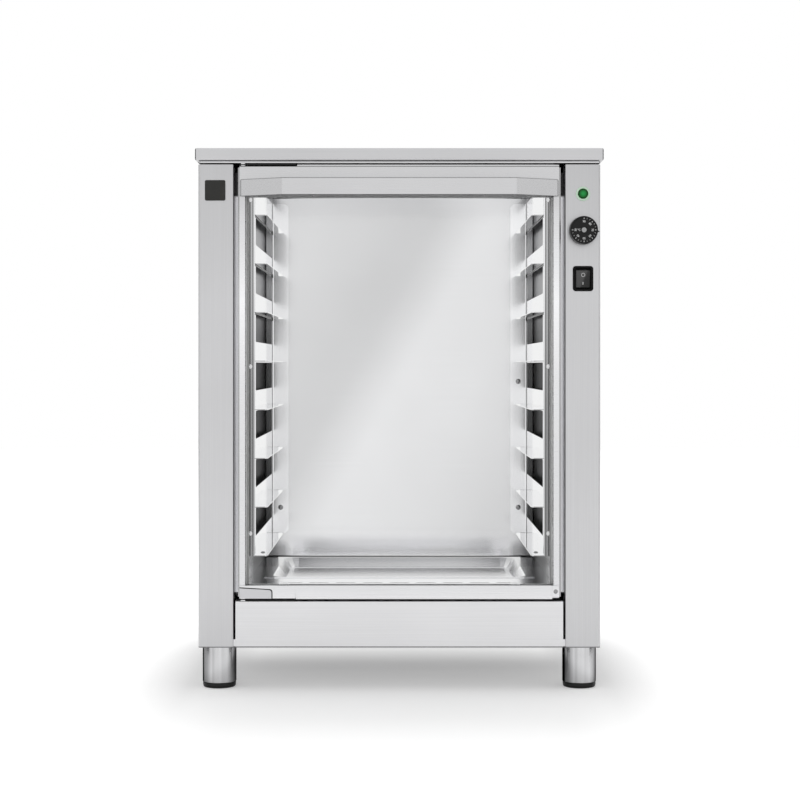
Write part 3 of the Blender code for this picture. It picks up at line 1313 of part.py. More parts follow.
def make_leg(place, x, y):
    """A tube with a top plate and a bored plug, and the levelling foot whose stem runs in the plug."""
    top, bottom = BODY_BOTTOM - GAP, FOOT_TOP
    inner = LEG_RADIUS - LEG_WALL
    bore = FOOT_STEM_RADIUS + GAP
    tube = [
        (0, top),
        (LEG_RADIUS, top),
        (LEG_RADIUS, bottom + LEG_BEVEL),
        (LEG_RADIUS - LEG_BEVEL, bottom),
        (bore, bottom),
        (bore, bottom + LEG_PLUG),
        (inner, bottom + LEG_PLUG),
        (inner, top - LEG_PLATE),
        (0, top - LEG_PLATE),
    ]
    turned("leg_" + place, tube, (x, y, 0), (0, 0, 1), LEG_STEEL)
    stem_top = FOOT_PAD_HEIGHT + FOOT_STEM_LENGTH
    pad = LEG_RADIUS - FOOT_PAD_SHORTER
    foot = [
        (0, stem_top),
        (FOOT_STEM_RADIUS, stem_top),
        (FOOT_STEM_RADIUS, FOOT_PAD_HEIGHT),
        (pad, FOOT_PAD_HEIGHT),
        (pad, FOOT_PAD_ROUND),
        (pad - FOOT_PAD_ROUND / 2, FOOT_PAD_ROUND / 4),
        (pad - FOOT_PAD_ROUND, 0),
        (0, 0),
    ]
    turned("foot_" + place, foot, (x, y, 0), (0, 0, 1), FOOT_PLASTIC)


def make_legs():
    across = BODY_WIDTH / 2 - LEG_SIDE_INSET
    front, rear = y_at(LEG_FRONT_INSET), y_at(BODY_REAR - LEG_REAR_INSET)
    for end, y in (("front", front), ("rear", rear)):
        make_leg(end + "_left", -across, y)
        make_leg(end + "_right", across, y)


def main():
    make_worktop()
    make_roof_panel()
    make_side_panel("left_side_panel", -1)
    cut_control_openings(make_side_panel("right_side_panel", 1))
    make_base_panel()
    make_lower_front_panel()
    make_rear_panel()
    make_chamber_wall("chamber_left_wall", -1)
    make_chamber_wall("chamber_right_wall", 1)
    make_chamber_ceiling()
    make_chamber_back_wall()
    make_chamber_sill()
    make_chamber_floor()
    make_rack("tray_rack_left", -1)
    make_rack("tray_rack_right", 1)
    make_door()
    make_hinge("upper_hinge", UPPER_PLATE_BOTTOM, pin_up=False)
    make_hinge("lower_hinge", LOWER_PLATE_BOTTOM, pin_up=True)
    make_lamp()
    make_thermostat()
    make_switch()
    make_badge_plate()
    make_heating_element()
    make_element_bracket()
    make_terminal_block()
    make_cable_gland()
    make_legs()


main()
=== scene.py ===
"""Looks of the proofing cabinet: its steels, glass, controls, seal, screws, legs and feet, with the stage.

It is laid out as an add-on and run as a script. Everything is in metres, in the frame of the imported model.
"""

import json
import math

import bmesh
import bpy
from bpy.props import FloatProperty, FloatVectorProperty, IntProperty
from mathutils import Matrix, Vector


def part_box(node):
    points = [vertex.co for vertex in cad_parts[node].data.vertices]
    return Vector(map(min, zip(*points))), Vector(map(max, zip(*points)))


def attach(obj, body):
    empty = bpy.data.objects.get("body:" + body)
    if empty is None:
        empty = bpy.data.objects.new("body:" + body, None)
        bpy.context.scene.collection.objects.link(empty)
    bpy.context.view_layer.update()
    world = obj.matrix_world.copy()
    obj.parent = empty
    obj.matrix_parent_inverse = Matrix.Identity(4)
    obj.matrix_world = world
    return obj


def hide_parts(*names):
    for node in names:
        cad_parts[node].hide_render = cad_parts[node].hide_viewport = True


bl_info = {
    "name": "Proofing cabinet",
    "version": (1, 0, 0),
    "blender": (4, 5, 0),
    "location": "View3D > Sidebar > Cabinet",
    "description": "Finishes and fittings of a steel proofing cabinet with a glass door",
    "category": "Object",
}

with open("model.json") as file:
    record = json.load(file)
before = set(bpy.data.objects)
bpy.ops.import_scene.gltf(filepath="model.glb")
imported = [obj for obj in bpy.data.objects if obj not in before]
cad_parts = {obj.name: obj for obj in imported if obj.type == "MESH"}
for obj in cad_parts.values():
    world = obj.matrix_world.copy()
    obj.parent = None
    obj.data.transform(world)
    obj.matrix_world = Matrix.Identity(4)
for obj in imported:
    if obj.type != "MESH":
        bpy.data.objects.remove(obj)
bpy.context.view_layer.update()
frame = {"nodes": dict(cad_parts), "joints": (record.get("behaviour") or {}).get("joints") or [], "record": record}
SLOT_COLOURS = {slot["slot"]: slot["base_color"][:3] for slot in frame["record"]["materials"]}
NODE_SLOTS = {part["node"]: part["material_slot"] for part in frame["record"]["subparts"]}
JOINTS = {joint["name"]: joint for joint in frame["joints"]}

MERGE = 0.00001
FINE_MERGE = 0.000001
SMOOTH_ANGLE = math.radians(32)
FLAT_ANGLE = math.radians(1)
QUARTER_TURN = math.radians(90)
FULL_TURN = 2 * math.pi
ROUND_STEPS = 64
FORWARD = (0, -1, 0)
TO_FRONT = Matrix.Rotation(QUARTER_TURN, 4, "X")
CORNERS = ("front_left", "front_right", "rear_left", "rear_right")

# How far a rack's front flange reaches in from its outer side
FLANGE = 0.0124
# Ledges whose strip above the next window is seen from below: the ledge's top, and how dark the painted shade on its
# strip is
LEDGE_STRIP_SHADE = ((0.7020, 0.7), (0.6291, 0.8), (0.5562, 0.9))
# Painted reflection lines along a rack's front flange, by their place from its inner side, with their tones
FLANGE_REFLECTION_LINES = (
    (0.0, 0.75), (0.0010, 1.0), (0.0020, 1.0), (0.0030, 0.19), (0.0036, 0.19), (0.0046, 0.60),
    (0.0064, 0.55), (0.0074, 0.15), (0.0084, 0.15), (0.0096, 0.50), (0.0124, 0.50),
)  # fmt: skip
# Painted shade on the back wall beside the racks, by its height
BEHIND_RACK_SHADE = (
    (0.14, 0.75), (0.185, 0.6), (0.195, 0.27), (0.47, 0.27), (0.53, 0.45), (0.60, 0.8), (0.69, 1.0), (0.76, 1.0),
)  # fmt: skip
# Painted reflection bands along a leg, by their place across its radius, with their tones
LEG_REFLECTION_BANDS = (
    (-1.0, 0.05), (-0.90, 0.08), (-0.86, 0.48), (-0.66, 0.56), (-0.40, 1.02), (-0.28, 0.84), (-0.14, 1.04),
    (0.16, 1.12), (0.26, 1.0), (0.40, 1.05), (0.52, 1.1), (0.66, 0.9), (0.78, 0.7), (0.93, 0.4), (1.0, 0.4),
)  # fmt: skip
# Painted shadow: how bright the floor below the object is, by the place from the front to the back
FLOOR_SHADOW_TONES = (
    (-0.48, 0.31), (-0.335, 0.44), (-0.267, 0.46), (-0.20, 0.52), (-0.13, 0.55), (-0.08, 0.53),
    (-0.03, 0.58), (0.013, 0.73), (0.053, 0.88), (0.093, 1.03),
)  # fmt: skip
# Tones of the card that the chamber's walls mirror, along its slant
CHAMBER_CARD_TONES = (
    (-0.504, 0.906), (-0.35242, 0.79), (-0.3038, 0.79), (-0.218, 1.0), (-0.075, 0.93), (0.068, 0.81),
)  # fmt: skip


# Settings


class CabinetStageSettings(bpy.types.PropertyGroup):
    """Camera, lamps and floor."""

    distance: FloatProperty(
        name="Camera distance", description="From the worktop's front edge", default=2.55, unit="LENGTH"
    )
    aside: FloatProperty(name="Camera aside", description="To the right of the middle", default=0.001, unit="LENGTH")
    height: FloatProperty(name="Camera height", description="Above the floor", default=0.476, unit="LENGTH")
    lens: FloatProperty(name="Lens", description="Focal length", default=78.3, unit="CAMERA")
    shift: FloatProperty(
        name="Vertical shift", description="Share of the picture that the view moves down", default=-0.0431
    )
    floor_size: FloatProperty(name="Floor size", description="Side of the square floor", default=14.0, unit="LENGTH")
    floor_colour: FloatVectorProperty(
        name="Floor colour", description="Colour of the floor", default=(0.86, 0.86, 0.86), subtype="COLOR"
    )
    floor_glow: FloatProperty(
        name="Far floor", description="Light that the far floor adds to the picture", default=0.5
    )
    near_glow: FloatProperty(
        name="Near floor", description="Light that the floor beside the object adds", default=0.28
    )
    # The light that the floor adds below the object is scaled by the tones of its painted shadow
    under_glow: FloatProperty(
        name="Floor below", description="Light that the floor below the object adds", default=0.667
    )
    mirrored_glow: FloatProperty(
        name="Mirrored floor", description="Light that the floor adds in metal and glass", default=0.12
    )
    room_light: FloatProperty(name="Room light", description="Strength of the light from all sides", default=0.62)
    room_reflection: FloatProperty(
        name="Room reflection", description="How bright the room shows in metal and glass", default=1.0
    )
    top_power: FloatProperty(name="Top lamp", description="Power of the lamp above", default=85.0, unit="POWER")
    front_power: FloatProperty(
        name="Front lamp", description="Power of the lamp in front", default=14.0, unit="POWER"
    )
    chamber_card: FloatProperty(
        name="Chamber card", description="Brightness of the card that the chamber mirrors", default=1.0
    )
    back_card: FloatProperty(
        name="Back card", description="Brightness of the card that the racks mirror", default=0.95
    )
    card_tone: FloatProperty(
        name="Card tone", description="Tone of the dark cards that outline the metal", default=0.02
    )


class CabinetSteelSettings(bpy.types.PropertyGroup):
    """Sheet steel finishes."""

    grain: FloatProperty(name="Grain", description="Contrast of the brush lines", default=0.025, subtype="FACTOR")
    grain_depth: FloatProperty(
        name="Grain depth", description="Height of the brush lines", default=0.000008, unit="LENGTH"
    )
    cloud: FloatProperty(
        name="Cloudiness", description="Slow changes of tone over a sheet", default=0.02, subtype="FACTOR"
    )
    roughness: FloatProperty(
        name="Roughness", description="Roughness of the satin sheet", default=0.34, subtype="FACTOR"
    )


class CabinetTrimSettings(bpy.types.PropertyGroup):
    """Glass, lamp and print."""

    glass_tint: FloatVectorProperty(
        name="Glass tint", description="Colour that the pane passes", default=(0.985, 0.987, 0.985), subtype="COLOR"
    )
    lamp_core: FloatVectorProperty(
        name="Lamp centre", description="Green of the lens's middle", default=(0.012, 0.22, 0.045), subtype="COLOR"
    )
    lamp_rim: FloatVectorProperty(
        name="Lamp rim", description="Green of the lens's rim", default=(0.001, 0.05, 0.004), subtype="COLOR"
    )
    print_colour: FloatVectorProperty(
        name="Print", description="Paint of the marks on the controls", default=(0.62, 0.62, 0.62), subtype="COLOR"
    )


class CabinetFittingSettings(bpy.types.PropertyGroup):
    """Sizes of screws and small fittings."""

    screw_radius: FloatProperty(
        name="Screw radius", description="Radius of a rack screw's head", default=0.0034, unit="LENGTH"
    )
    screw_height: FloatProperty(
        name="Screw height", description="Height of a rack screw's head", default=0.0016, unit="LENGTH"
    )
    dial_text: FloatProperty(
        name="Dial numbers", description="Height of the numbers on the dial", default=0.0041, unit="LENGTH"
    )
    dial_bold: FloatProperty(
        name="Bolder numbers", description="How far the dial's characters are widened", default=0.00008, unit="LENGTH"
    )
    dial_first: IntProperty(name="First number", description="Lowest number on the dial", default=30)
    dial_step: IntProperty(name="Number step", description="Step between the dial's numbers", default=10)


# Materials


class Tree:
    """The nodes of a material or the world, with the steps that the finishes share."""

    def __init__(self, owner):
        owner.use_nodes = True
        self.nodes = owner.node_tree.nodes
        self.links = owner.node_tree.links

    def fill(self, node, inputs):
        """Links what changes over the surface to a node's inputs, and sets what doesn't."""
        for socket, value in inputs.items():
            if isinstance(value, bpy.types.NodeSocket):
                self.links.new(value, node.inputs[socket])
            else:
                node.inputs[socket].default_value = value

    def make(self, kind, output, inputs=(), **traits):
        """Makes a node, fills its inputs and gives one of its outputs."""
        node = self.nodes.new("ShaderNode" + kind)
        for trait, value in traits.items():
            setattr(node, trait, value)
        self.fill(node, dict(inputs))
        return node.outputs[output]

    def show(self, shader):
        """Makes a shader's output the surface."""
        self.links.new(shader, self.nodes["Material Output"].inputs["Surface"])

    def place(self):
        return self.make("TexCoord", "Object")

    def noise(self, scale, detail):
        """A noise in the object's coordinates, stretched by a scale along each axis."""
        stretched = self.make("Mapping", "Vector", {"Vector": self.place(), "Scale": scale})
        return self.make(
            "TexNoise", "Fac", {"Vector": stretched, "Scale": 1.0, "Detail": detail, "Roughness": 0.55}
        )

    def even_noise(self, size, detail=2.0):
        return self.noise((size, size, size), detail)

    def spread(self, value, low, high):
        """A noise value spread from a low to a high number."""
        return self.make(
            "MapRange", "Result", {"Value": value, "From Min": 0.3, "From Max": 0.7, "To Min": low, "To Max": high}
        )

    def tinted(self, colour, factor):
        """A colour, or a grey as one number, multiplied by a number that changes over the surface."""
        colour = (colour, colour, colour) if isinstance(colour, float) else colour
        grey = self.make("CombineColor", "Color", {"Red": factor, "Green": factor, "Blue": factor})
        both = {0: 1.0, 6: (*colour, 1.0), 7: grey}
        return self.make("Mix", 2, both, data_type="RGBA", blend_type="MULTIPLY")

    def bump(self, height, strength, depth):
        return self.make("Bump", "Normal", {"Height": height, "Strength": strength, "Distance": depth})

    def reckon(self, operation, first, second):
        """What an operation makes of two numbers."""
        return self.make("Math", "Value", {0: first, 1: second}, operation=operation)

    def times(self, product, *factors):
        """The product of some numbers."""
        for factor in factors:
            product = self.reckon("MULTIPLY", product, factor)
        return product

    def along(self, axis):
        """The place along an axis, or the distance from the middle plane for "aside"."""
        if axis == "aside":
            return self.reckon("ABSOLUTE", self.along("X"), 0.0)
        return self.make("SeparateXYZ", axis, {"Vector": self.place()})

    def over(self, axis, edge):
        """One where the place along an axis is over an edge, and zero below it."""
        return self.reckon("GREATER_THAN", self.along(axis), edge)

    def under(self, axis, edge):
        """One where the place along an axis is under an edge, and zero above it."""
        return self.reckon("LESS_THAN", self.along(axis), edge)

    def inside(self, axis, low, high):
        """One where the place along an axis lies between two numbers, and zero elsewhere."""
        return self.times(self.over(axis, low), self.under(axis, high))

    def where(self, mask, factor):
        """A factor where a mask is one, and one where it is zero."""
        change = self.reckon("SUBTRACT", factor, 1.0)
        return self.reckon("ADD", self.times(mask, change), 1.0)

    def ramp(self, value, stops):
        """Tones along an axis or a value, from its (place, tone) stops."""
        value = self.along(value) if isinstance(value, str) else value
        low, high = stops[0][0], stops[-1][0]
        peak = max(tone for place, tone in stops)
        reach = self.make("MapRange", "Result", {"Value": value, "From Min": low, "From Max": high})
        band = self.nodes.new("ShaderNodeValToRGB")
        elements = band.color_ramp.elements
        while len(elements) < len(stops):
            elements.new(0.5)
        for element, (place, tone) in zip(elements, stops):
            element.position = (place - low) / (high - low)
            element.color = (tone / peak, tone / peak, tone / peak, 1)
        self.fill(band, {"Fac": reach})
        return self.times(band.outputs["Color"], peak)

    def glow(self, strength, colour=(1, 1, 1, 1)):
        return self.make("Emission", "Emission", {"Color": colour, "Strength": strength})

    def ray(self, kind):
        """One for a kind of ray, and zero for the others."""
        return self.make("LightPath", "Is " + kind + " Ray")

    def mirrored(self):
        """One for the rays that metal and glass send, and zero for the others."""
        return self.reckon("MAXIMUM", self.ray("Glossy"), self.ray("Transmission"))


def new_material(name):
    material = bpy.data.materials.new(name)
    tree = Tree(material)
    return material, tree, tree.nodes["Principled BSDF"]


GRAIN_SCALES = {"X": (5, 900, 900), "Y": (900, 5, 900), "Z": (900, 900, 5)}


def brushed_steel(slot, along, roughness=None, shade=1.0, grain=None, depth=None, edge=None, polish=None):
    """Satin sheet steel with brush lines along an axis. shade is a factor of its tone, and edge its tone at a flat
    angle. A number holds for the whole sheet, and a function gives places. polish is a place with a factor of its
    roughness."""
    settings = bpy.context.scene.cabinet_steel
    grain = settings.grain if grain is None else grain
    depth = settings.grain_depth if depth is None else depth
    roughness = settings.roughness if roughness is None else roughness
    material, tree, shader = new_material(slot)
    lines = tree.noise(GRAIN_SCALES[along], 2.0)
    clouds = tree.spread(tree.even_noise(5), 1 - settings.cloud, 1 + settings.cloud)
    even = 1.0 if callable(shade) else shade
    tone = tree.times(tree.spread(lines, even * (1 - grain), even * (1 + grain)), clouds)
    if callable(shade):
        tone = tree.times(tone, shade(tree))
    rough = tree.spread(lines, roughness - grain, roughness + grain)
    if polish:
        place, factor = polish
        rough = tree.times(rough, tree.where(place(tree), factor))
    if edge is not None:
        tint = tree.tinted(1.0, edge(tree)) if callable(edge) else (edge, edge, edge, 1.0)
        tree.fill(shader, {"Specular Tint": tint})
    look = {"Metallic": 1.0, "Base Color": tree.tinted(SLOT_COLOURS[slot], tone), "Roughness": rough}
    tree.fill(shader, {**look, "Normal": tree.bump(lines, 0.4, depth)})
    return material


def moulded_plastic(
    slot, roughness, grain_scale=2200.0, depth=0.00002, colour=None, variation=0.12, gloss=0.5
):
    """Moulded plastic or rubber with a fine spark-eroded grain."""
    material, tree, shader = new_material(slot)
    grain = tree.even_noise(grain_scale)
    tone = tree.spread(tree.even_noise(60), 1 - variation, 1 + variation)
    look = {
        "Base Color": tree.tinted(colour or SLOT_COLOURS[slot], tone),
        "Specular IOR Level": gloss,
        "Roughness": tree.spread(grain, roughness - 0.05, roughness + 0.05),
        "Normal": tree.bump(grain, 0.35, depth),
    }
    tree.fill(shader, look)
    return material


def turned_steel(slot, roughness=0.2, tone=1.0):
    """Bright steel with fine rings and a little tarnish."""
    material, tree, shader = new_material(slot)
    tarnish = tree.spread(tree.even_noise(120), 0.94 * tone, 1.03 * tone)
    look = {
        "Metallic": 1.0,
        "Base Color": tree.tinted(SLOT_COLOURS[slot], tarnish),
        "Roughness": tree.spread(tree.even_noise(1500), roughness - 0.05, roughness + 0.06),
    }
    tree.fill(shader, look)
    return material


def pane_glass(slot):
    """Clear glass that passes light straight, and mirrors a little at its outer faces."""
    material, tree, shader = new_material(slot)
    tree.nodes.remove(shader)
    tone = tree.spread(tree.even_noise(3, 1.0), 0.995, 1.0)
    tint = tree.tinted(bpy.context.scene.cabinet_trim.glass_tint, tone)
    clear = tree.make("BsdfTransparent", "BSDF", {"Color": tint})
    gloss = tree.make("BsdfGlossy", "BSDF", {"Roughness": 0.03})
    outer = tree.reckon("SUBTRACT", 1.0, tree.make("NewGeometry", "Backfacing"))
    share = tree.times(tree.make("Fresnel", "Fac", {"IOR": 1.22}), outer)
    tree.show(tree.make("MixShader", "Shader", {0: share, 1: clear, 2: gloss}))
    return material


def lamp_green(slot):
    """The lens's moulded green, light in the middle and dark at the rim."""
    settings = bpy.context.scene.cabinet_trim
    material, tree, shader = new_material(slot)
    middle = middle_of("lamp_lens")
    spot = {"Vector": tree.place(), "Location": (-middle.x, 0, -middle.z), "Scale": (1, 0, 1)}
    centred = tree.make("Mapping", "Vector", spot)
    reach = tree.make("VectorMath", "Value", {0: centred}, operation="LENGTH")
    core, rim = 0.0018, radius_of("lamp_lens") - 0.0012
    share = tree.make("MapRange", "Result", {"Value": reach, "From Min": core, "From Max": rim})
    greens = {0: share, 6: (*settings.lamp_core, 1.0), 7: (*settings.lamp_rim, 1.0)}
    green = tree.make("Mix", 2, greens, data_type="RGBA")
    look = {
        "Base Color": green,
        "Emission Color": green,
        "Emission Strength": 0.35,
        "Roughness": tree.spread(tree.even_noise(700, 1.0), 0.08, 0.2),
        "Specular IOR Level": 0.2,
    }
    tree.fill(shader, look)
    return material


def rocker_black(slot):
    """The rocker's black, with a painted sheen that makes it paler towards its upper left."""
    middle = middle_of("switch_rocker")
    material = moulded_plastic(slot, 0.3, gloss=0.3, colour=1.0)
    tree = Tree(material)
    across = tree.reckon("SUBTRACT", tree.along("X"), middle.x)
    down = tree.reckon("SUBTRACT", middle.z, tree.along("Z"))
    slant = tree.reckon("ADD", across, tree.times(down, 0.45))
    tone = tree.ramp(slant, ((-0.004, 0.075), (0.0005, 0.07), (0.003, 0.022), (0.008, 0.018)))
    tree.fill(tree.nodes["Principled BSDF"], {"Base Color": tree.tinted(1.0, tone)})
    return material


def print_paint(slot):
    """The pale paint of printed marks."""
    return moulded_plastic(slot, 0.5, 3000.0, 0.00001, bpy.context.scene.cabinet_trim.print_colour, 0.06)


# Painted light, shade and reflection over the sheets, and the masks of where they lie. Heights are above the floor,
# and the stops are (place, tone).


def behind_racks(tree):
    """One on the part of the chamber's sides that shows through the racks' windows, falling to zero before it."""
    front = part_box("tray_rack_left")[0].y
    return tree.ramp("Y", ((front + 0.01, 0.0), (front + 0.15, 1.0)))


def wall_edge(tree):
    """The chamber's sides at a flat angle have a painted reflection that is bright in front, and painted shade deeper
    than that, most of all below.
    """
    stops = ((0.14, 0.62), (0.185, 0.55), (0.195, 0.28), (0.47, 0.28), (0.53, 0.5), (0.60, 0.9), (0.76, 1.0))
    return tree.where(behind_racks(tree), tree.ramp("Z", stops))


def wall_shade(tree):
    """The chamber's sides have a painted highlight on their front end with painted shade at its top, and their
    painted tones at a flat angle behind it.
    """
    fold = 0.0285
    end = tree.under("Y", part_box("right_side_panel")[0].y + fold)
    tones = tree.ramp("Z", ((0.70, 2.4), (0.725, 2.4), (0.728, 0.1), (0.77, 0.1)))
    behind = tree.times(tree.reckon("SUBTRACT", 1.0, end), wall_edge(tree))
    return tree.reckon("ADD", tree.times(end, tones), behind)


def pillar_shade(tree):
    """Painted reflection dims the pillars towards their tops, and painted shade darkens their lower hem."""
    low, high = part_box("right_side_panel")
    tone = tree.ramp("Z", ((low.z, 0.98), (low.z + 0.2, 1.02), (high.z - 0.2, 1.0), (high.z, 0.87)))
    return tree.times(tone, tree.where(tree.under("Z", low.z + 0.0015), 0.35))


def panel_shade(tree):
    """The lower front panel is a little brighter than the rest, with painted shade on its lower hem."""
    return tree.times(1.08, tree.where(tree.under("Z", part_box("lower_front_panel")[0].z + 0.0017), 0.3))


def roof_shade(tree):
    """Painted shade darkens the roof panel behind its front fold."""
    return tree.where(tree.over("Y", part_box("roof_panel")[0].y + 0.0015), 0.03)


def beside_racks(tree):
    """One on the part of the back wall that shows through the racks' windows, and zero elsewhere."""
    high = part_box("tray_rack_right")[1]
    return tree.times(tree.over("aside", high.x - 0.0120), tree.over("Y", high.y - 0.001))


def chamber_shade(tree):
    """Painted shade on the back wall behind the racks and in the corners below them, and painted light that makes it
    a little brighter low down.
    """
    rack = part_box("tray_rack_right")[0]
    whole = tree.ramp("Z", ((0.15, 1.38), (0.17, 1.36), (0.198, 1.16), (0.45, 1.16), (0.6, 1.12)))
    dim = tree.where(beside_racks(tree), tree.ramp("Z", BEHIND_RACK_SHADE))
    outward = tree.ramp("aside", ((rack.x - 0.004, 0.0), (rack.x + 0.008, 1.0)))
    downward = tree.ramp("Z", ((rack.z - 0.022, 1.0), (rack.z - 0.010, 0.0)))
    return tree.times(whole, dim, tree.where(tree.times(outward, downward), 0.62))


def rack_strip_shade(tree):
    """Painted shade: the strip between a ledge and the window below it is painted as dark as the window, where it is
    seen from below.
    """
    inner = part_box("tray_rack_right")[1].x - FLANGE
    strips = 0.0
    for top, dark in LEDGE_STRIP_SHADE:
        strips = tree.reckon("ADD", strips, tree.times(tree.inside("Z", top - 0.0045, top - 0.0004), dark))
    strips = tree.times(strips, tree.inside("aside", inner - 0.0012, inner + 0.0003))
    return tree.reckon("SUBTRACT", 1.0, strips)


def rack_rear(tree):
    """One on a rack's rear flange, and zero before it."""
    return tree.over("Y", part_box("tray_rack_right")[1].y - 0.0015)


def rack_shade(tree):
    """A rack's front flange has painted reflection lines along it, darker lower down, and its rear flange has a
    painted sheen that makes it a little paler.
    """
    low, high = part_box("tray_rack_right")
    lines = tree.ramp("aside", tuple((high.x - FLANGE + place, tone) for place, tone in FLANGE_REFLECTION_LINES))
    fall = tree.ramp("Z", ((0.19, 0.68), (0.42, 0.7), (0.60, 1.0), (0.75, 1.0)))
    flange = tree.where(tree.under("Y", low.y + 0.0006), tree.times(lines, fall))
    return tree.times(1.16, tree.where(rack_rear(tree), 1.1), rack_strip_shade(tree), flange)


def basin_shade(tree):
    """Painted shade darkens the basin's rear wall towards its top."""
    low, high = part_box("chamber_floor")
    wall = tree.ramp("Z", ((high.z - 0.018, 1.0), (high.z - 0.010, 0.85), (high.z - 0.004, 0.72)))
    return tree.times(1.2, tree.where(tree.over("Y", (low.y + high.y) / 2), wall))


def door_shade(tree):
    """Painted light makes the door's stiles and bottom rail brighter than its top rail. A fold and the outer edges
    are painted shade lines.
    """
    top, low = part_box("door_top_rail")[0].z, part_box("door_bottom_rail")[0].z
    stops = ((low, 1.14), (low + 0.02, 1.06), (0.45, 1.16), (0.57, 1.36), (top - 0.03, 1.0), (top, 0.88))
    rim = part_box("door_top_rail")[1].z - 0.0018
    fold = tree.where(tree.inside("Z", rim - 0.0012, rim), 0.3)
    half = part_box("door_right_stile")[1].x - 0.0024
    outer = tree.where(tree.inside("aside", half, half + 0.0013), 0.45)
    return tree.times(tree.ramp("Z", stops), tree.times(fold, outer))


def handle_shade(tree):
    """Painted shade makes the handle's turned-back ends, its upper and lower edges and its back darker than its face.
    """
    low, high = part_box("door_handle")
    bend = 0.1705
    ends = tree.where(tree.over("aside", bend), 0.90)
    rim = tree.where(tree.over("Z", high.z - 0.0012), 0.5)
    below = tree.where(tree.under("Z", low.z + 0.0005), 0.25)
    back = tree.where(tree.over("Y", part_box("door_top_rail")[0].y - 0.0012), 0.6)
    return tree.times(0.9, ends, tree.times(rim, below), back)


def leg_shade(tree):
    """Painted reflection: a polished tube mirrors its surroundings as bands along it, painted into its tone."""
    half, radius = middle_of("leg_front_right").x, radius_of("leg_front_right")
    centre = tree.reckon("SUBTRACT", tree.times(tree.over("X", 0.0), 2 * half), half)
    offset = tree.reckon("SUBTRACT", tree.along("X"), centre)
    return tree.ramp(offset, tuple((radius * place, tone) for place, tone in LEG_REFLECTION_BANDS))


def steel(*values, **named):
    return brushed_steel, {**dict(zip(("along", "roughness", "shade", "grain", "depth"), values)), **named}


def plastic(*values, **named):
    return moulded_plastic, {**dict(zip(("roughness", "grain_scale", "depth"), values)), **named}


# Makers of the finishes with their values. A finish has the colour of the slot that it names, or else of its own.
FINISHES = {
    "worktop_steel": steel("X"),
    "pillar_steel": steel("Z", shade=pillar_shade),
    "panel_steel": steel("X", shade=panel_shade),
    "roof_steel": steel("X", shade=roof_shade, slot="panel_steel"),
    "chamber_steel": steel("X", 0.12, chamber_shade, 0.01, 0.000001, polish=(beside_racks, 2.0)),
    "basin_steel": steel("X", 0.22, basin_shade, 0.01, 0.000002, slot="chamber_steel"),
    "wall_steel": steel("Y", 0.2, wall_shade, 0.01, 0.000001, edge=wall_edge, polish=(behind_racks, 1.6)),
    "rack_steel": steel("Z", 0.07, rack_shade, 0.005, 0.000001, edge=rack_strip_shade, polish=(rack_rear, 2.0)),
    "door_steel": steel("X", 0.28, door_shade, 0.012, 0.000003),
    "handle_steel": steel("X", 0.28, handle_shade, 0.012, 0.000003, slot="door_steel"),
    "hinge_steel": steel("X", 0.40, 1.5),
    "leg_steel": steel("Z", 0.16, leg_shade, 0.03, edge=0.2),
    "element_steel": steel("Y", 0.5),
    "pin_steel": (turned_steel, {}),
    "screw_steel": (turned_steel, {"slot": "pin_steel", "roughness": 0.25, "tone": 0.45}),
    "door_glass": (pane_glass, {}),
    "lamp_lens": (lamp_green, {}),
    # Near-black painted shade for the hinge plates in the door's gaps and the pad behind the hinge arm
    "gap_steel": plastic(0.5, slot="hinge_steel", colour=0.02, gloss=0.1),
    "gasket_rubber": plastic(0.62, 900.0, 0.00003, colour=0.88, variation=0.04),
    "lip_rubber": plastic(0.62, 900.0, 0.00003, slot="gasket_rubber", colour=0.42, variation=0.04),
    "control_plastic": plastic(0.36, gloss=0.2, colour=0.01),
    "bezel_plastic": plastic(0.3, slot="control_plastic", gloss=0.06, colour=0.006),
    "rocker_plastic": (rocker_black, {"slot": "control_plastic"}),
    "skirt_plastic": plastic(0.3, slot="control_plastic", gloss=0.5, colour=0.13),
    "print": (print_paint, {"slot": "control_plastic"}),
    "lamp_ring_plastic": plastic(0.3, 1500.0, 0.00001, colour=(0.58, 0.76, 0.60), variation=0.03),
    "badge_plastic": plastic(0.3, 2600.0, 0.00001, gloss=0.2, colour=(0.03, 0.03, 0.028)),
    "foot_plastic": plastic(0.3, 1500.0, 0.00002, gloss=0.3, colour=0.008),
    "terminal_plastic": plastic(0.5, 1500.0, 0.00003, variation=0.03),
}
# Nodes whose finish differs from the rest of their slot
NODE_FINISHES = {
    "chamber_floor": "basin_steel",
    "chamber_sill": "basin_steel",
    "roof_panel": "roof_steel",
    "door_handle": "handle_steel",
    # The hinge plates in the gaps are painted near-black as shade
    "upper_hinge_plate": "gap_steel",
    "lower_hinge_plate": "gap_steel",
}


def finish(name):
    """A finish by its name, made when it is first asked for."""
    made = bpy.data.materials.get("finish_" + name)
    if not made:
        maker, values = FINISHES[name]
        made = maker(**{"slot": name, **values})
        made.name = "finish_" + name
    return made


# Shapes


def mesh_of(name, shape, material):
    """Makes a shape an object with a material, and frees the shape."""
    mesh = bpy.data.meshes.new(name)
    shape.to_mesh(mesh)
    shape.free()
    mesh.materials.append(material)
    obj = bpy.data.objects.new(name, mesh)
    bpy.context.scene.collection.objects.link(obj)
    return obj


def piece(name, shape, slot, body, replaced=None, look=None):
    """Makes a shape a finished piece of a body, in place of the CAD node that it replaces."""
    merge(shape)
    obj = mesh_of(name, shape, finish(look or slot))
    obj.data.shade_smooth()
    obj.data.set_sharp_from_angle(angle=SMOOTH_ANGLE)
    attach(obj, body)
    if replaced:
        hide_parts(replaced)


def merge(shape, reach=FINE_MERGE):
    bmesh.ops.remove_doubles(shape, verts=shape.verts, dist=reach)


def move(shape, matrix):
    bmesh.ops.transform(shape, matrix=matrix, verts=shape.verts)


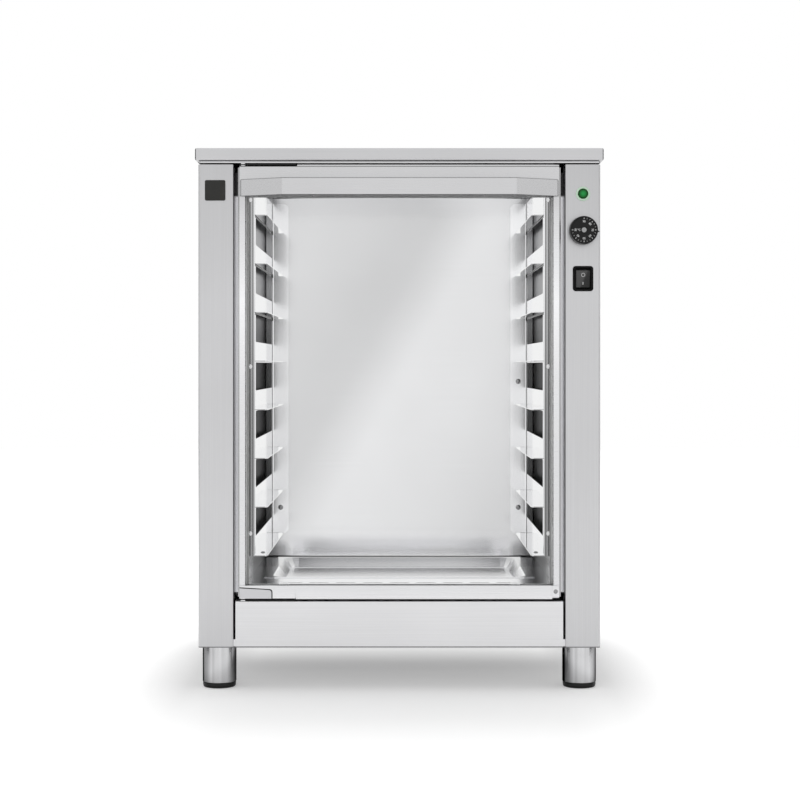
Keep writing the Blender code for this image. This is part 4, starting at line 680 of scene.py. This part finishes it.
def stand(shape, place, direction):
    """Turns a shape's Z axis along a direction and moves its foot to a place."""
    move(shape, Matrix.Translation(place) @ Vector(direction).to_track_quat("Z", "Y").to_matrix().to_4x4())
    return shape


def turn(profile, place, direction=(0, 0, 1), steps=ROUND_STEPS):
    """A turned shape of (radius, height) points, its axis from a place along a direction."""
    shape = bmesh.new()
    row = [shape.verts.new((radius, 0, height)) for radius, height in profile]
    edges = [shape.edges.new(pair) for pair in zip(row, row[1:])]
    if profile[0][0] and profile[-1][0]:
        edges.append(shape.edges.new((row[-1], row[0])))
    bmesh.ops.spin(
        shape, geom=row + edges, axis=(0, 0, 1), cent=(0, 0, 0), angle=FULL_TURN, steps=steps, use_merge=True
    )
    merge(shape)
    bmesh.ops.recalc_face_normals(shape, faces=shape.faces)
    return stand(shape, place, direction)


def arc(radius, height, bend, start, stop, steps=6):
    """Points of a bend in a profile round its (radius, height), with angles in degrees from the radial one."""
    points = []
    for step in range(steps + 1):
        angle = math.radians(start + (stop - start) * step / steps)
        points.append((radius + bend * math.cos(angle), height + bend * math.sin(angle)))
    return points


def slab(low, high, corner=0.0, edge=0.0):
    """A block whose corners round the Y axis are rounded, and whose front and back have soft rims."""
    shape = bmesh.new()
    low, high = Vector(low), Vector(high)
    bmesh.ops.create_cube(shape, size=1)
    bmesh.ops.scale(shape, vec=high - low, verts=shape.verts)
    bmesh.ops.translate(shape, vec=(low + high) / 2, verts=shape.verts)
    if corner:
        soften(shape, [item for item in shape.edges if depth_of(item) > (high - low).y / 2], corner, 6)
    if edge:
        soften(shape, [item for item in shape.edges if depth_of(item) < MERGE], edge, 3)
    return shape


def depth_of(edge):
    return abs(edge.verts[0].co.y - edge.verts[1].co.y)


def soften(shape, edges, width, steps):
    bmesh.ops.bevel(shape, geom=edges, offset=width, segments=steps, profile=0.5, affect="EDGES", material=-1)


def add(shape, other):
    """Puts a copy of another shape into a shape, and frees the other one."""
    mesh = bpy.data.meshes.new("part")
    other.to_mesh(mesh)
    other.free()
    shape.from_mesh(mesh)
    bpy.data.meshes.remove(mesh)


def joined(shapes):
    """One shape of several."""
    whole = bmesh.new()
    for shape in shapes:
        add(whole, shape)
    return whole


def shape_of(obj):
    """The shape of an object with its modifiers."""
    graph = bpy.context.evaluated_depsgraph_get()
    mesh = bpy.data.meshes.new_from_object(obj.evaluated_get(graph))
    shape = bmesh.new()
    shape.from_mesh(mesh)
    bpy.data.meshes.remove(mesh)
    return shape


def carve(shape, *cutters):
    """Cuts shapes out of a shape, and frees them all."""
    parts = []
    for item in (shape, *cutters):
        mesh = bpy.data.meshes.new("part")
        item.to_mesh(mesh)
        item.free()
        parts.append(bpy.data.objects.new("part", mesh))
        bpy.context.scene.collection.objects.link(parts[-1])
    for part in parts[1:]:
        step = parts[0].modifiers.new("cut", "BOOLEAN")
        step.operation = "DIFFERENCE"
        step.solver = "EXACT"
        step.object = part
    result = shape_of(parts[0])
    for part in parts:
        bpy.data.objects.remove(part)
    return result


def ring_frame(low, high, width, edge=0.0):
    """A flat frame round the Y axis, its sides of one width."""
    low, high = Vector(low), Vector(high)
    inset, past = Vector((width, 0, width)), Vector((0, 0.001, 0))
    return carve(slab(low, high, 0.003, edge), slab(low + inset - past, high - inset + past, 0.0015))


def text_shape(text, size, depth, bold):
    """Raised characters, centred, in the XZ plane and read from the front."""
    curve = bpy.data.curves.new("characters", "FONT")
    curve.body = text
    curve.size = size
    curve.offset = bold
    curve.extrude = depth / 2
    curve.align_x = curve.align_y = "CENTER"
    guide = bpy.data.objects.new("characters", curve)
    bpy.context.scene.collection.objects.link(guide)
    shape = shape_of(guide)
    bpy.data.objects.remove(guide)
    merge(shape)
    move(shape, TO_FRONT)
    return shape


def cross_head(radius, height, place, direction=FORWARD):
    """A pan head screw with a cross recess."""
    rim = 0.35 * height
    profile = [(0, height), (0.45 * radius, 0.97 * height), (0.8 * radius, 0.72 * height), (radius, rim), (radius, 0)]
    arm, reach = 0.14 * radius, 0.62 * radius
    bars = [slab((-x, -y, 0.45 * height), (x, y, 2 * height)) for x, y in ((reach, arm), (arm, reach))]
    return stand(carve(turn([*profile, (0, 0)], (0, 0, 0), steps=32), *bars), place, direction)


def sheet(width, height, turned, middle):
    """A flat rectangle, turned from the floor's plane and moved to its middle."""
    shape = bmesh.new()
    bmesh.ops.create_grid(shape, x_segments=1, y_segments=1, size=0.5)
    bmesh.ops.scale(shape, vec=(width, height, 1), verts=shape.verts)
    move(shape, Matrix.Translation(middle) @ turned)
    return shape


def copied(node):
    """A merged copy of a CAD node's shape."""
    shape = bmesh.new()
    shape.from_mesh(frame["nodes"][node].data)
    merge(shape, MERGE)
    bmesh.ops.dissolve_limit(shape, angle_limit=FLAT_ANGLE, verts=shape.verts, edges=shape.edges)
    return shape


def middle_of(node):
    low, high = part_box(node)
    return (low + high) / 2


def radius_of(node):
    low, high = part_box(node)
    return (high.x - low.x) / 2


def on_pillar(node):
    """The place on the pillars' face before the middle of a node."""
    middle = middle_of(node)
    return Vector((middle.x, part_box("right_side_panel")[0].y, middle.z))


# Stage


def make_camera(scene, settings):
    data = bpy.data.cameras.new("camera")
    data.lens, data.shift_y = settings.lens, settings.shift
    data.sensor_width, data.clip_end = 36.0, 100.0
    camera = bpy.data.objects.new("camera", data)
    camera.location = (settings.aside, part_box("worktop")[0].y - settings.distance, settings.height)
    camera.rotation_euler = (QUARTER_TURN, 0, 0)
    scene.collection.objects.link(camera)
    scene.camera = camera


def make_room(scene, settings):
    """A white room that is brighter in metal and glass than the light that it gives."""
    scene.world = bpy.data.worlds.new("room")
    tree = Tree(scene.world)
    extra = tree.times(tree.mirrored(), settings.room_reflection - settings.room_light)
    strength = tree.reckon("ADD", extra, settings.room_light)
    camera = tree.ray("Camera")
    kept = tree.times(strength, tree.reckon("SUBTRACT", 1.0, camera))
    tree.fill(tree.nodes["Background"], {"Color": (1, 1, 1, 1), "Strength": tree.reckon("ADD", kept, camera)})


def make_floor(settings):
    """The floor adds light to the picture: most far away, and below the object as a painted shadow."""
    material, tree, shader = new_material("studio_floor")
    colour = tree.tinted(settings.floor_colour, tree.spread(tree.even_noise(0.7, 3.0), 0.995, 1.0))
    tree.fill(shader, {"Base Color": colour, "Roughness": 0.9, "Specular IOR Level": 0.1})
    reach = tree.make("VectorMath", "Value", {0: tree.place()}, operation="LENGTH")
    far = {"Value": reach, "From Min": 0.75, "From Max": 1.6}
    glows = {"To Min": settings.near_glow, "To Max": settings.floor_glow}
    away = tree.make("MapRange", "Result", {**far, **glows}, interpolation_type="SMOOTHSTEP")
    share = settings.under_glow / FLOOR_SHADOW_TONES[-1][1]
    shade = tree.ramp("Y", tuple((place, tone * share) for place, tone in FLOOR_SHADOW_TONES))
    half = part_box("right_side_panel")[1].x
    middle = tree.ramp("aside", ((half - 0.06, 1.0), (half + 0.02, 0.0)))
    below = tree.times(tree.reckon("SUBTRACT", shade, settings.near_glow), middle)
    seen = tree.times(tree.reckon("ADD", away, below), tree.ray("Camera"))
    strength = tree.reckon("ADD", seen, tree.times(tree.mirrored(), settings.mirrored_glow))
    tree.show(tree.make("AddShader", "Shader", {0: shader.outputs["BSDF"], 1: tree.glow(strength)}))
    size = settings.floor_size
    mesh_of("floor", sheet(size, size, Matrix.Identity(4), (0, 0, 0)), material)


def make_lamp(scene, name, place, size, target, power):
    light = bpy.data.lights.new(name, "AREA")
    light.shape = "RECTANGLE"
    light.size, light.size_y = size
    light.energy = power
    lamp = bpy.data.objects.new(name, light)
    lamp.location = place
    lamp.rotation_euler = (Vector(target) - Vector(place)).to_track_quat("-Z", "Y").to_euler()
    lamp.visible_glossy = False
    scene.collection.objects.link(lamp)


def make_card(name, shape, *hidden):
    """Puts a card on the stage, hidden from some kinds of rays, and gives its nodes and its shader."""
    material, tree, shader = new_material(name)
    card = mesh_of(name, shape, material)
    for ray in ("camera", "diffuse", "shadow", *hidden):
        setattr(card, "visible_" + ray, False)
    return tree, shader


def make_white_card(name, shape):
    """Puts a card on the stage that only metal sees, and gives its nodes."""
    tree, shader = make_card(name, shape, "transmission")
    tree.nodes.remove(shader)
    return tree


def make_chamber_card(brightness):
    """A white card at the chamber's mouth, so that the walls mirror a white room with a slanted light."""
    low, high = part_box("chamber_ceiling")
    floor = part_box("chamber_floor")[1].z
    height = low.z - floor
    shape = sheet(high.x - low.x, height, TO_FRONT, (0, low.y + 0.008, floor + height / 2))
    tree = make_white_card("chamber_card", shape)
    lean = {"Vector": tree.place(), "Rotation": (0, math.radians(-29), 0)}
    slant = tree.make("SeparateXYZ", "X", {"Vector": tree.make("Mapping", "Vector", lean)})
    tree.show(tree.glow(brightness, tree.ramp(slant, CHAMBER_CARD_TONES)))


def make_back_card(brightness):
    """A white card before the chamber's back that the racks mirror; its own back lets the wall see through."""
    low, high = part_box("tray_rack_right")
    floor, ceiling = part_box("chamber_floor")[1].z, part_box("chamber_ceiling")[0].z
    middle = (0, high.y - 0.004, (floor + ceiling) / 2)
    tree = make_white_card("back_card", sheet(2 * (low.x + 0.017), ceiling - floor, TO_FRONT, middle))
    back, clear = tree.make("NewGeometry", "Backfacing"), tree.make("BsdfTransparent", "BSDF")
    tree.show(tree.make("MixShader", "Shader", {0: back, 1: tree.glow(brightness), 2: clear}))


def make_slot_card(name, side):
    """A white card between a rack and the chamber's side, for the rear flange to mirror."""
    low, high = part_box("tray_rack_right")
    first, last = low.y + 0.003, low.y + 0.145
    middle = (side * (high.x - 0.0003), (first + last) / 2, (low.z + high.z) / 2)
    turned = Matrix.Rotation(-side * QUARTER_TURN, 4, "Y")
    tree = make_white_card(name, sheet(high.z - low.z, last - first, turned, middle))
    fade = tree.ramp("Y", ((first + 0.05, 1.0), (last, 0.3)))
    light = tree.ramp("Z", ((0.19, 0.9), (0.50, 0.9), (0.58, 0.5), (0.75, 0.5)))
    tree.show(tree.glow(tree.times(light, fade)))


def make_dark_card(name, side, tone):
    """A dark card beside the object that only metal and glass see, as their dark outline."""
    shape = slab((side * 1.90, -0.9, -0.4), (side * 1.92, 1.5, 1.8))
    bmesh.ops.recalc_face_normals(shape, faces=shape.faces)
    tree, shader = make_card(name, shape)
    fine = tree.spread(tree.even_noise(2, 3.0), 0.9, 1.1)
    tree.fill(shader, {"Base Color": tree.tinted(tone, fine)})


# Shapes of the fittings. Places on the pillars' face and the dial are vectors.


def on_dial(shape, place, angle, reach, turned=True):
    """Puts a shape on the dial whose middle is a place, its angle clockwise from the top."""
    spot = place + Vector((reach * math.sin(angle), -0.0001, reach * math.cos(angle)))
    move(shape, Matrix.Translation(spot) @ (Matrix.Rotation(angle, 4, "Y") if turned else Matrix.Identity(4)))
    return shape


def tick(length, width):
    return slab((-width / 2, -0.0001, -length / 2), (width / 2, 0.0001, length / 2))


def dial_marks(place, radius, settings):
    """Numbers with long marks, and short marks between them, anticlockwise round a dial from its left."""
    spacing, start, majors, minors = math.radians(45), math.radians(270), 7, 3

    def characters(text):
        return text_shape(text, settings.dial_text, 0.0002, settings.dial_bold)

    marks = [on_dial(characters("°C"), place, start, 0.0074, turned=False)]
    for index in range(majors):
        angle = start - index * spacing
        number = str(settings.dial_first + index * settings.dial_step)
        marks.append(on_dial(tick(0.0026, 0.0009), place, angle, radius - 0.0034))
        marks.append(on_dial(characters(number), place, angle, radius - 0.0082))
    for index in range((majors - 1) * minors):
        if index % minors:
            marks.append(on_dial(tick(0.0017, 0.00045), place, start - index * spacing / minors, radius - 0.0034))
    return joined(marks)


def pointer(tip):
    """The black triangle printed on the pillar, from its tip to the right."""
    height, length = 0.0026, 0.0040
    shape = bmesh.new()
    aim = TO_FRONT @ Matrix.Rotation(-QUARTER_TURN, 4, "Z")
    size = {"radius1": height, "radius2": height, "depth": 0.00012}
    bmesh.ops.create_cone(shape, cap_ends=True, segments=3, matrix=aim, **size)
    edge = min(vert.co.x for vert in shape.verts)
    bmesh.ops.translate(shape, vec=(-edge, 0, 0), verts=shape.verts)
    bmesh.ops.scale(shape, vec=(length / (1.5 * height), 1, 1), verts=shape.verts)
    bmesh.ops.translate(shape, vec=tip, verts=shape.verts)
    bmesh.ops.recalc_face_normals(shape, faces=shape.faces)
    return shape


def bezel():
    """The bezel with its flared pocket, and the housing behind the pillar's sheet."""
    low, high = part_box("switch_housing")
    middle = on_pillar("switch_housing")
    seat, front = middle.y, middle.y - 0.0022
    wide, tall, flare, wall = 0.0107, 0.0146, 0.0010, 0.0012

    def pocket(first, last):
        return slab((middle.x - wide, first, middle.z - tall), (middle.x + wide, last, middle.z + tall), 0.0018)

    hole = pocket(front - 0.001, seat + 0.001)
    for vert in hole.verts:
        if vert.co.y < front:
            vert.co.x = middle.x + (vert.co.x - middle.x) * (wide + flare) / wide
            vert.co.z = middle.z + (vert.co.z - middle.z) * (tall + flare) / tall
    rim = slab((low.x - 0.0004, front, low.z), (high.x + 0.0004, seat - 0.0001, high.z), 0.0042, 0.0007)
    box_low = (middle.x - wide - wall, seat - 0.0001, low.z + 0.0025)
    box_high = (middle.x + wide + wall, high.y, high.z - 0.0025)
    return joined([carve(rim, hole), carve(slab(box_low, box_high), pocket(seat - 0.001, high.y - 0.002))])


def rocker():
    """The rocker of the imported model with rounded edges, a little wider."""
    shape = copied("switch_rocker")
    centre = Matrix.Translation((-middle_of("switch_rocker").x, 0, 0))
    bmesh.ops.scale(shape, vec=(1.06, 1, 1), space=centre, verts=shape.verts)
    soften(shape, [item for item in shape.edges if item.calc_face_angle(0) > SMOOTH_ANGLE], 0.0007, 3)
    bmesh.ops.recalc_face_normals(shape, faces=shape.faces)
    return shape


def rocker_marks():
    """The ring and the bar on the rocker's two faces, tilted as the faces are."""
    pivot = Vector(JOINTS["switch_tilt"]["pos_m"])
    data = frame["nodes"]["switch_rocker"].data
    faces = [item for item in data.polygons if item.normal.y < -0.8]
    band = [(0.0022, 0.00016), (0.0029, 0.00016), (0.0029, -0.0001), (0.0022, -0.0001)]
    ring = turn(band, (0, 0, 0), FORWARD, 40)
    bar = slab((-0.0006, -0.00016, -0.0019), (0.0006, 0.0001, 0.0019), 0.0003, 0.00004)
    for shape, side in ((ring, 1), (bar, -1)):
        chosen = [item for item in faces if (item.center.z - pivot.z) * side > 0]
        largest = max(chosen, key=lambda item: item.area)
        corners = [data.vertices[index].co for face in chosen for index in face.vertices]
        spot = sum(corners, Vector()) / len(corners)
        spot.x = pivot.x
        spot = spot + largest.normal * (largest.center - spot).dot(largest.normal)
        tilt = Vector(FORWARD).rotation_difference(largest.normal).to_matrix().to_4x4()
        move(shape, Matrix.Translation(spot) @ tilt)
    return joined([ring, bar])


def hinge_shadow_pad():
    """Painted shade: a dark pad, a little larger than the hinge arm, between the arm and its plate, as the shadow
    seam round the arm.
    """
    shape = copied("hinge_arm")
    low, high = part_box("hinge_arm")
    clear = 0.00003
    front, back = high.y + clear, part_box("hinge_backing_plate")[0].y - clear
    corner = Matrix.Translation((-low.x, 0, -low.z))
    size = (1 + 0.0015 / (high.x - low.x), 1, 1 + 0.0013 / (high.z - low.z))
    bmesh.ops.scale(shape, vec=size, space=corner, verts=shape.verts)
    for vert in shape.verts:
        vert.co.y = front if vert.co.y < (low.y + high.y) / 2 else back
    return shape


def hem():
    """The folded hem along the bottom rail's lower edge."""
    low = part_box("door_bottom_rail")[0]
    left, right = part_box("hinge_backing_plate")[1].x + 0.0005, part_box("rail_end_plate")[0].x - 0.0002
    return slab((left, low.y - 0.0005, low.z - 0.0011), (right, low.y + 0.0001, low.z + 0.0050), 0.0, 0.0002)


def leg(node):
    """A tube with rounded ends, closed below by a plate with the foot's bore."""
    low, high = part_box(node)
    middle, radius = middle_of(node), radius_of(node)
    inner, bend, bore = radius - 0.0015, 0.0008, 0.0054
    end, plate, top = radius - bend, low.z + bend, low.z + 0.010
    profile = [
        (0, high.z), (end, high.z), *arc(end, high.z - bend, bend, 90, 0, 4), (radius, low.z + 0.0012),
        *arc(end, plate, bend, 0, -90, 4), (inner, low.z), (inner, plate), (bore, plate), (bore, top), (0, top),
    ]  # fmt: skip
    return turn(profile, (middle.x, middle.y, 0))


def foot(node, top):
    """A ribbed pad up to a height, with its stud."""
    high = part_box(node)[1]
    middle, radius = middle_of(node), radius_of(node)
    stud, groove = 0.005, radius - 0.0005
    profile = [
        (0, high.z), (stud - 0.0005, high.z), (stud, high.z - 0.0006), (stud, top), (radius - 0.0008, top),
        *arc(radius - 0.0006, top - 0.0006, 0.0006, 90, 0, 4), (radius, 0.0036), (groove, 0.0032),
        (groove, 0.0026), *arc(radius - 0.0022, 0.0022, 0.0018, 10, -90), (radius - 0.006, 0.0), (0, 0.0),
    ]  # fmt: skip
    return turn(profile, (middle.x, middle.y, 0))


# Operators, in the order in which main calls them


class CABINET_OT_stage(bpy.types.Operator):
    """Makes the camera, the room, the lamps, the floor and the cards that metal mirrors"""

    bl_idname = "cabinet.stage"
    bl_label = "Stage"

    def execute(self, context):
        scene, settings = context.scene, context.scene.cabinet_stage
        scene.view_settings.view_transform = "Standard"
        make_camera(scene, settings)
        make_room(scene, settings)
        make_floor(settings)
        above, below = (0.0, 0.75, 4.0), (0.0, 0.75, 0.0)
        before, object_middle = (-0.6, -3.4, 1.6), (0.0, 0.0, 0.4)
        make_lamp(scene, "top_lamp", above, (0.5, 1.9), below, settings.top_power)
        make_lamp(scene, "front_lamp", before, (1.6, 1.6), object_middle, settings.front_power)
        make_chamber_card(settings.chamber_card)
        make_back_card(settings.back_card)
        for name, side in (("left", -1), ("right", 1)):
            make_slot_card(name + "_slot_card", side)
            make_dark_card(name + "_card", side, settings.card_tone)
        return {"FINISHED"}


class CABINET_OT_sheet_finishes(bpy.types.Operator):
    """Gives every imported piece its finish"""

    bl_idname = "cabinet.sheet_finishes"
    bl_label = "Finishes"

    def execute(self, context):
        for name, node in frame["nodes"].items():
            material = finish(NODE_FINISHES.get(name, NODE_SLOTS[name]))
            if node.data.materials:
                for slot in node.material_slots:
                    slot.material = material
            else:
                node.data.materials.append(material)
        return {"FINISHED"}


class CABINET_OT_pilot_lamp(bpy.types.Operator):
    """Makes the pilot lamp's moulded ring and its domed lens"""

    bl_idname = "cabinet.pilot_lamp"
    bl_label = "Pilot lamp"

    def execute(self, context):
        place, outer, lens = on_pillar("lamp_ring"), radius_of("lamp_ring"), radius_of("lamp_lens")
        proud, top = place.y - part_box("lamp_ring")[0].y, place.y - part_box("lamp_lens")[0].y
        bore, shank = lens + 0.0002, lens + 0.0014
        ring = [
            (bore, -0.006), (bore, 0.4 * proud), *arc(bore + 0.0006, 0.62 * proud, 0.0006, 180, 90, 4),
            *arc(outer - 0.0010, 0.0006, 0.0010, 70, 0, 5), (outer, 0.0003), (shank, 0.0003), (shank, -0.006),
        ]  # fmt: skip
        piece("pilot_lamp_ring", turn(ring, place, FORWARD), "lamp_ring_plastic", "cabinet", "lamp_ring")
        shares = (step / 8 for step in range(9))
        dome = [(lens * share, top - (top - 0.5 * proud) * (1 - math.sqrt(1 - share**2.6))) for share in shares]
        dome += [(lens, 0.0), (lens, -0.011), (0, -0.011)]
        piece("pilot_lamp_lens", turn(dome, place, FORWARD), "lamp_lens", "cabinet", "lamp_lens")
        return {"FINISHED"}


class CABINET_OT_thermostat_knob(bpy.types.Operator):
    """Makes the thermostat knob with its printed dial, hub screw and the mark beside it"""

    bl_idname = "cabinet.thermostat_knob"
    bl_label = "Thermostat knob"

    def execute(self, context):
        place, radius = on_pillar("thermostat_knob"), radius_of("thermostat_knob")
        low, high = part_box("thermostat_knob")
        face, back, bore = place.y - low.y, place.y - high.y, radius_of("thermostat_shaft") + 0.0003
        dish, groove, proud = face - 0.0007, radius - 0.0006, 0.0003
        knob = [
            (0, dish), (radius - 0.0026, dish), (radius - 0.0021, face),
            *arc(radius - 0.0014, face - 0.0014, 0.0014, 90, 0), (radius, back + 0.0020),
            (groove, back + 0.0018), (groove, back + 0.0010), (radius, back + 0.0008), (radius, back),
            (bore, back), (bore, back + 0.010), (0, back + 0.010),
        ]  # fmt: skip
        piece("knob_body", turn(knob, place, FORWARD, 96), "control_plastic", "knob", "thermostat_knob")
        dial = place - Vector((0, dish, 0))
        marks = dial_marks(dial, radius, context.scene.cabinet_fittings)
        piece("dial_marks", marks, "control_plastic", "knob", look="print")
        hub = [(0, proud), (0.0038, proud), *arc(0.0043, proud, 0.0004, 180, 0), (0.0047, -0.0006), (0, -0.0006)]
        piece("knob_hub", turn(hub, dial, FORWARD, 32), "control_plastic", "knob")
        screw = cross_head(0.0036, 0.0008, dial - Vector((0, proud, 0)))
        piece("knob_hub_screw", screw, "pin_steel", "knob", look="screw_steel")
        inner, outer = radius - 0.001, radius + 0.0003
        skirt = [(inner, back + 0.0022), (outer, back + 0.0020), (outer + 0.0001, back), (inner, back)]
        piece("knob_skirt", turn(skirt, place, FORWARD, 96), "control_plastic", "knob", look="skirt_plastic")
        tip = place + Vector((radius + 0.0002, -0.00008, -0.0010))
        piece("dial_pointer", pointer(tip), "control_plastic", "cabinet")
        return {"FINISHED"}


class CABINET_OT_rocker_switch(bpy.types.Operator):
    """Makes the switch's bezel and its rocker with its two marks"""

    bl_idname = "cabinet.rocker_switch"
    bl_label = "Switch"

    def execute(self, context):
        piece("switch_bezel", bezel(), "control_plastic", "cabinet", "switch_housing", "bezel_plastic")
        piece("rocker", rocker(), "control_plastic", "rocker", "switch_rocker", "rocker_plastic")
        piece("rocker_marks", rocker_marks(), "control_plastic", "rocker", look="print")
        return {"FINISHED"}


class CABINET_OT_door_fittings(bpy.types.Operator):
    """Makes the door's seal, the dark pad of painted shade behind its hinge arm, the bottom rail's hem and the
    handle's studs
    """

    bl_idname = "cabinet.door_fittings"
    bl_label = "Door fittings"

    def execute(self, context):
        low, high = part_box("door_gasket")
        strip = 0.0060
        piece("door_seal", ring_frame(low, high, strip, 0.0006), "gasket_rubber", "door", "door_gasket")
        low, high = low + Vector((strip, 0.0004, strip)), high - Vector((strip, 0.0008, strip))
        piece("seal_lip", ring_frame(low, high, 0.0026), "gasket_rubber", "door", look="lip_rubber")
        piece("hinge_shadow_pad", hinge_shadow_pad(), "gasket_rubber", "door", look="gap_steel")
        piece("bottom_rail_hem", hem(), "door_steel", "door")
        stud = [(0, 0.0016), (0.0014, 0.0014), (0.00175, 0.0008), (0.00175, 0), (0, 0)]
        front, aside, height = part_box("door_top_rail")[0].y, 0.1257, 0.7265
        studs = joined([turn(stud, (across, front, height), FORWARD, 24) for across in (-aside, aside)])
        piece("rail_studs", studs, "pin_steel", "door", look="screw_steel")
        return {"FINISHED"}


class CABINET_OT_blank_plate(bpy.types.Operator):
    """Makes the bare plate on the left pillar"""

    bl_idname = "cabinet.blank_plate"
    bl_label = "Blank plate"

    def execute(self, context):
        shape = slab(*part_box("badge_plate"), 0.0022, 0.0004)
        piece("blank_plate", shape, "badge_plastic", "cabinet", "badge_plate")
        return {"FINISHED"}


class CABINET_OT_legs_and_feet(bpy.types.Operator):
    """Makes the leg tubes and the black levelling feet"""

    bl_idname = "cabinet.legs_and_feet"
    bl_label = "Legs and feet"

    def execute(self, context):
        for end in CORNERS:
            piece("leg_tube_" + end, leg("leg_" + end), "leg_steel", "cabinet", "leg_" + end)
            pad = foot("foot_" + end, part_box("leg_" + end)[0].z - 0.0003)
            piece("foot_pad_" + end, pad, "foot_plastic", end + "_foot", "foot_" + end)
        return {"FINISHED"}


class CABINET_OT_screws(bpy.types.Operator):
    """Makes the rack screws, the ledge screws and the screw of the door's end plate"""

    bl_idname = "cabinet.screws"
    bl_label = "Screws"

    def execute(self, context):
        settings = context.scene.cabinet_fittings
        radius, height = settings.screw_radius, settings.screw_height
        front_levels, inset, aside = (0.724, 0.4745, 0.2246), 0.0048, 0.202
        for side, name, rear_levels in ((-1, "left", (0.235,)), (1, "right", (0.235, 0.449))):
            low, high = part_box("tray_rack_" + name)
            across = side * (abs(low.x if side < 0 else high.x) - inset)
            front = [cross_head(radius, height, (across, low.y, level)) for level in front_levels]
            piece("front_screws_" + name, joined(front), "pin_steel", "cabinet")
            back = high.y - 0.0012
            rear = [cross_head(0.0043, height, (side * aside, back, level)) for level in rear_levels]
            ledge = cross_head(radius, height, (side * 0.2075, low.y + 0.042, low.z + 0.0012), (0, 0, 1))
            piece("rack_screws_" + name, joined([*rear, ledge]), "pin_steel", "cabinet", look="screw_steel")
        across, level = 0.2294, 0.1445
        end = cross_head(0.0032, 0.0012, (across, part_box("rail_end_plate")[0].y, level))
        piece("end_plate_screw", end, "pin_steel", "door", look="screw_steel")
        return {"FINISHED"}


class CABINET_PT_sidebar(bpy.types.Panel):
    """Lists the steps and their settings in the 3D view's sidebar"""

    bl_idname = "CABINET_PT_sidebar"
    bl_label = "Proofing cabinet"
    bl_space_type = "VIEW_3D"
    bl_region_type = "UI"
    bl_category = "Cabinet"

    def draw(self, context):
        column = self.layout.column(align=True)
        for step in STEPS:
            column.operator(step.bl_idname)
        for group in SETTINGS:
            box = self.layout.box()
            settings = getattr(context.scene, group)
            for prop in settings.bl_rna.properties:
                if not prop.is_readonly and prop.identifier != "name":
                    box.prop(settings, prop.identifier)


STEPS = (
    CABINET_OT_stage,
    CABINET_OT_sheet_finishes,
    CABINET_OT_pilot_lamp,
    CABINET_OT_thermostat_knob,
    CABINET_OT_rocker_switch,
    CABINET_OT_door_fittings,
    CABINET_OT_blank_plate,
    CABINET_OT_legs_and_feet,
    CABINET_OT_screws,
)
SETTINGS = {
    "cabinet_stage": CabinetStageSettings,
    "cabinet_steel": CabinetSteelSettings,
    "cabinet_trim": CabinetTrimSettings,
    "cabinet_fittings": CabinetFittingSettings,
}


def register():
    for name, group in SETTINGS.items():
        bpy.utils.register_class(group)
        setattr(bpy.types.Scene, name, bpy.props.PointerProperty(type=group))
    for step in (*STEPS, CABINET_PT_sidebar):
        bpy.utils.register_class(step)


def unregister():
    for step in reversed((*STEPS, CABINET_PT_sidebar)):
        bpy.utils.unregister_class(step)
    for name, group in reversed(SETTINGS.items()):
        delattr(bpy.types.Scene, name)
        bpy.utils.unregister_class(group)


def main():
    register()
    for step in STEPS:
        group, name = step.bl_idname.split(".")
        if getattr(getattr(bpy.ops, group), name)() != {"FINISHED"}:
            raise RuntimeError(step.bl_label + " did not finish")


if __name__ == "__main__":
    main()
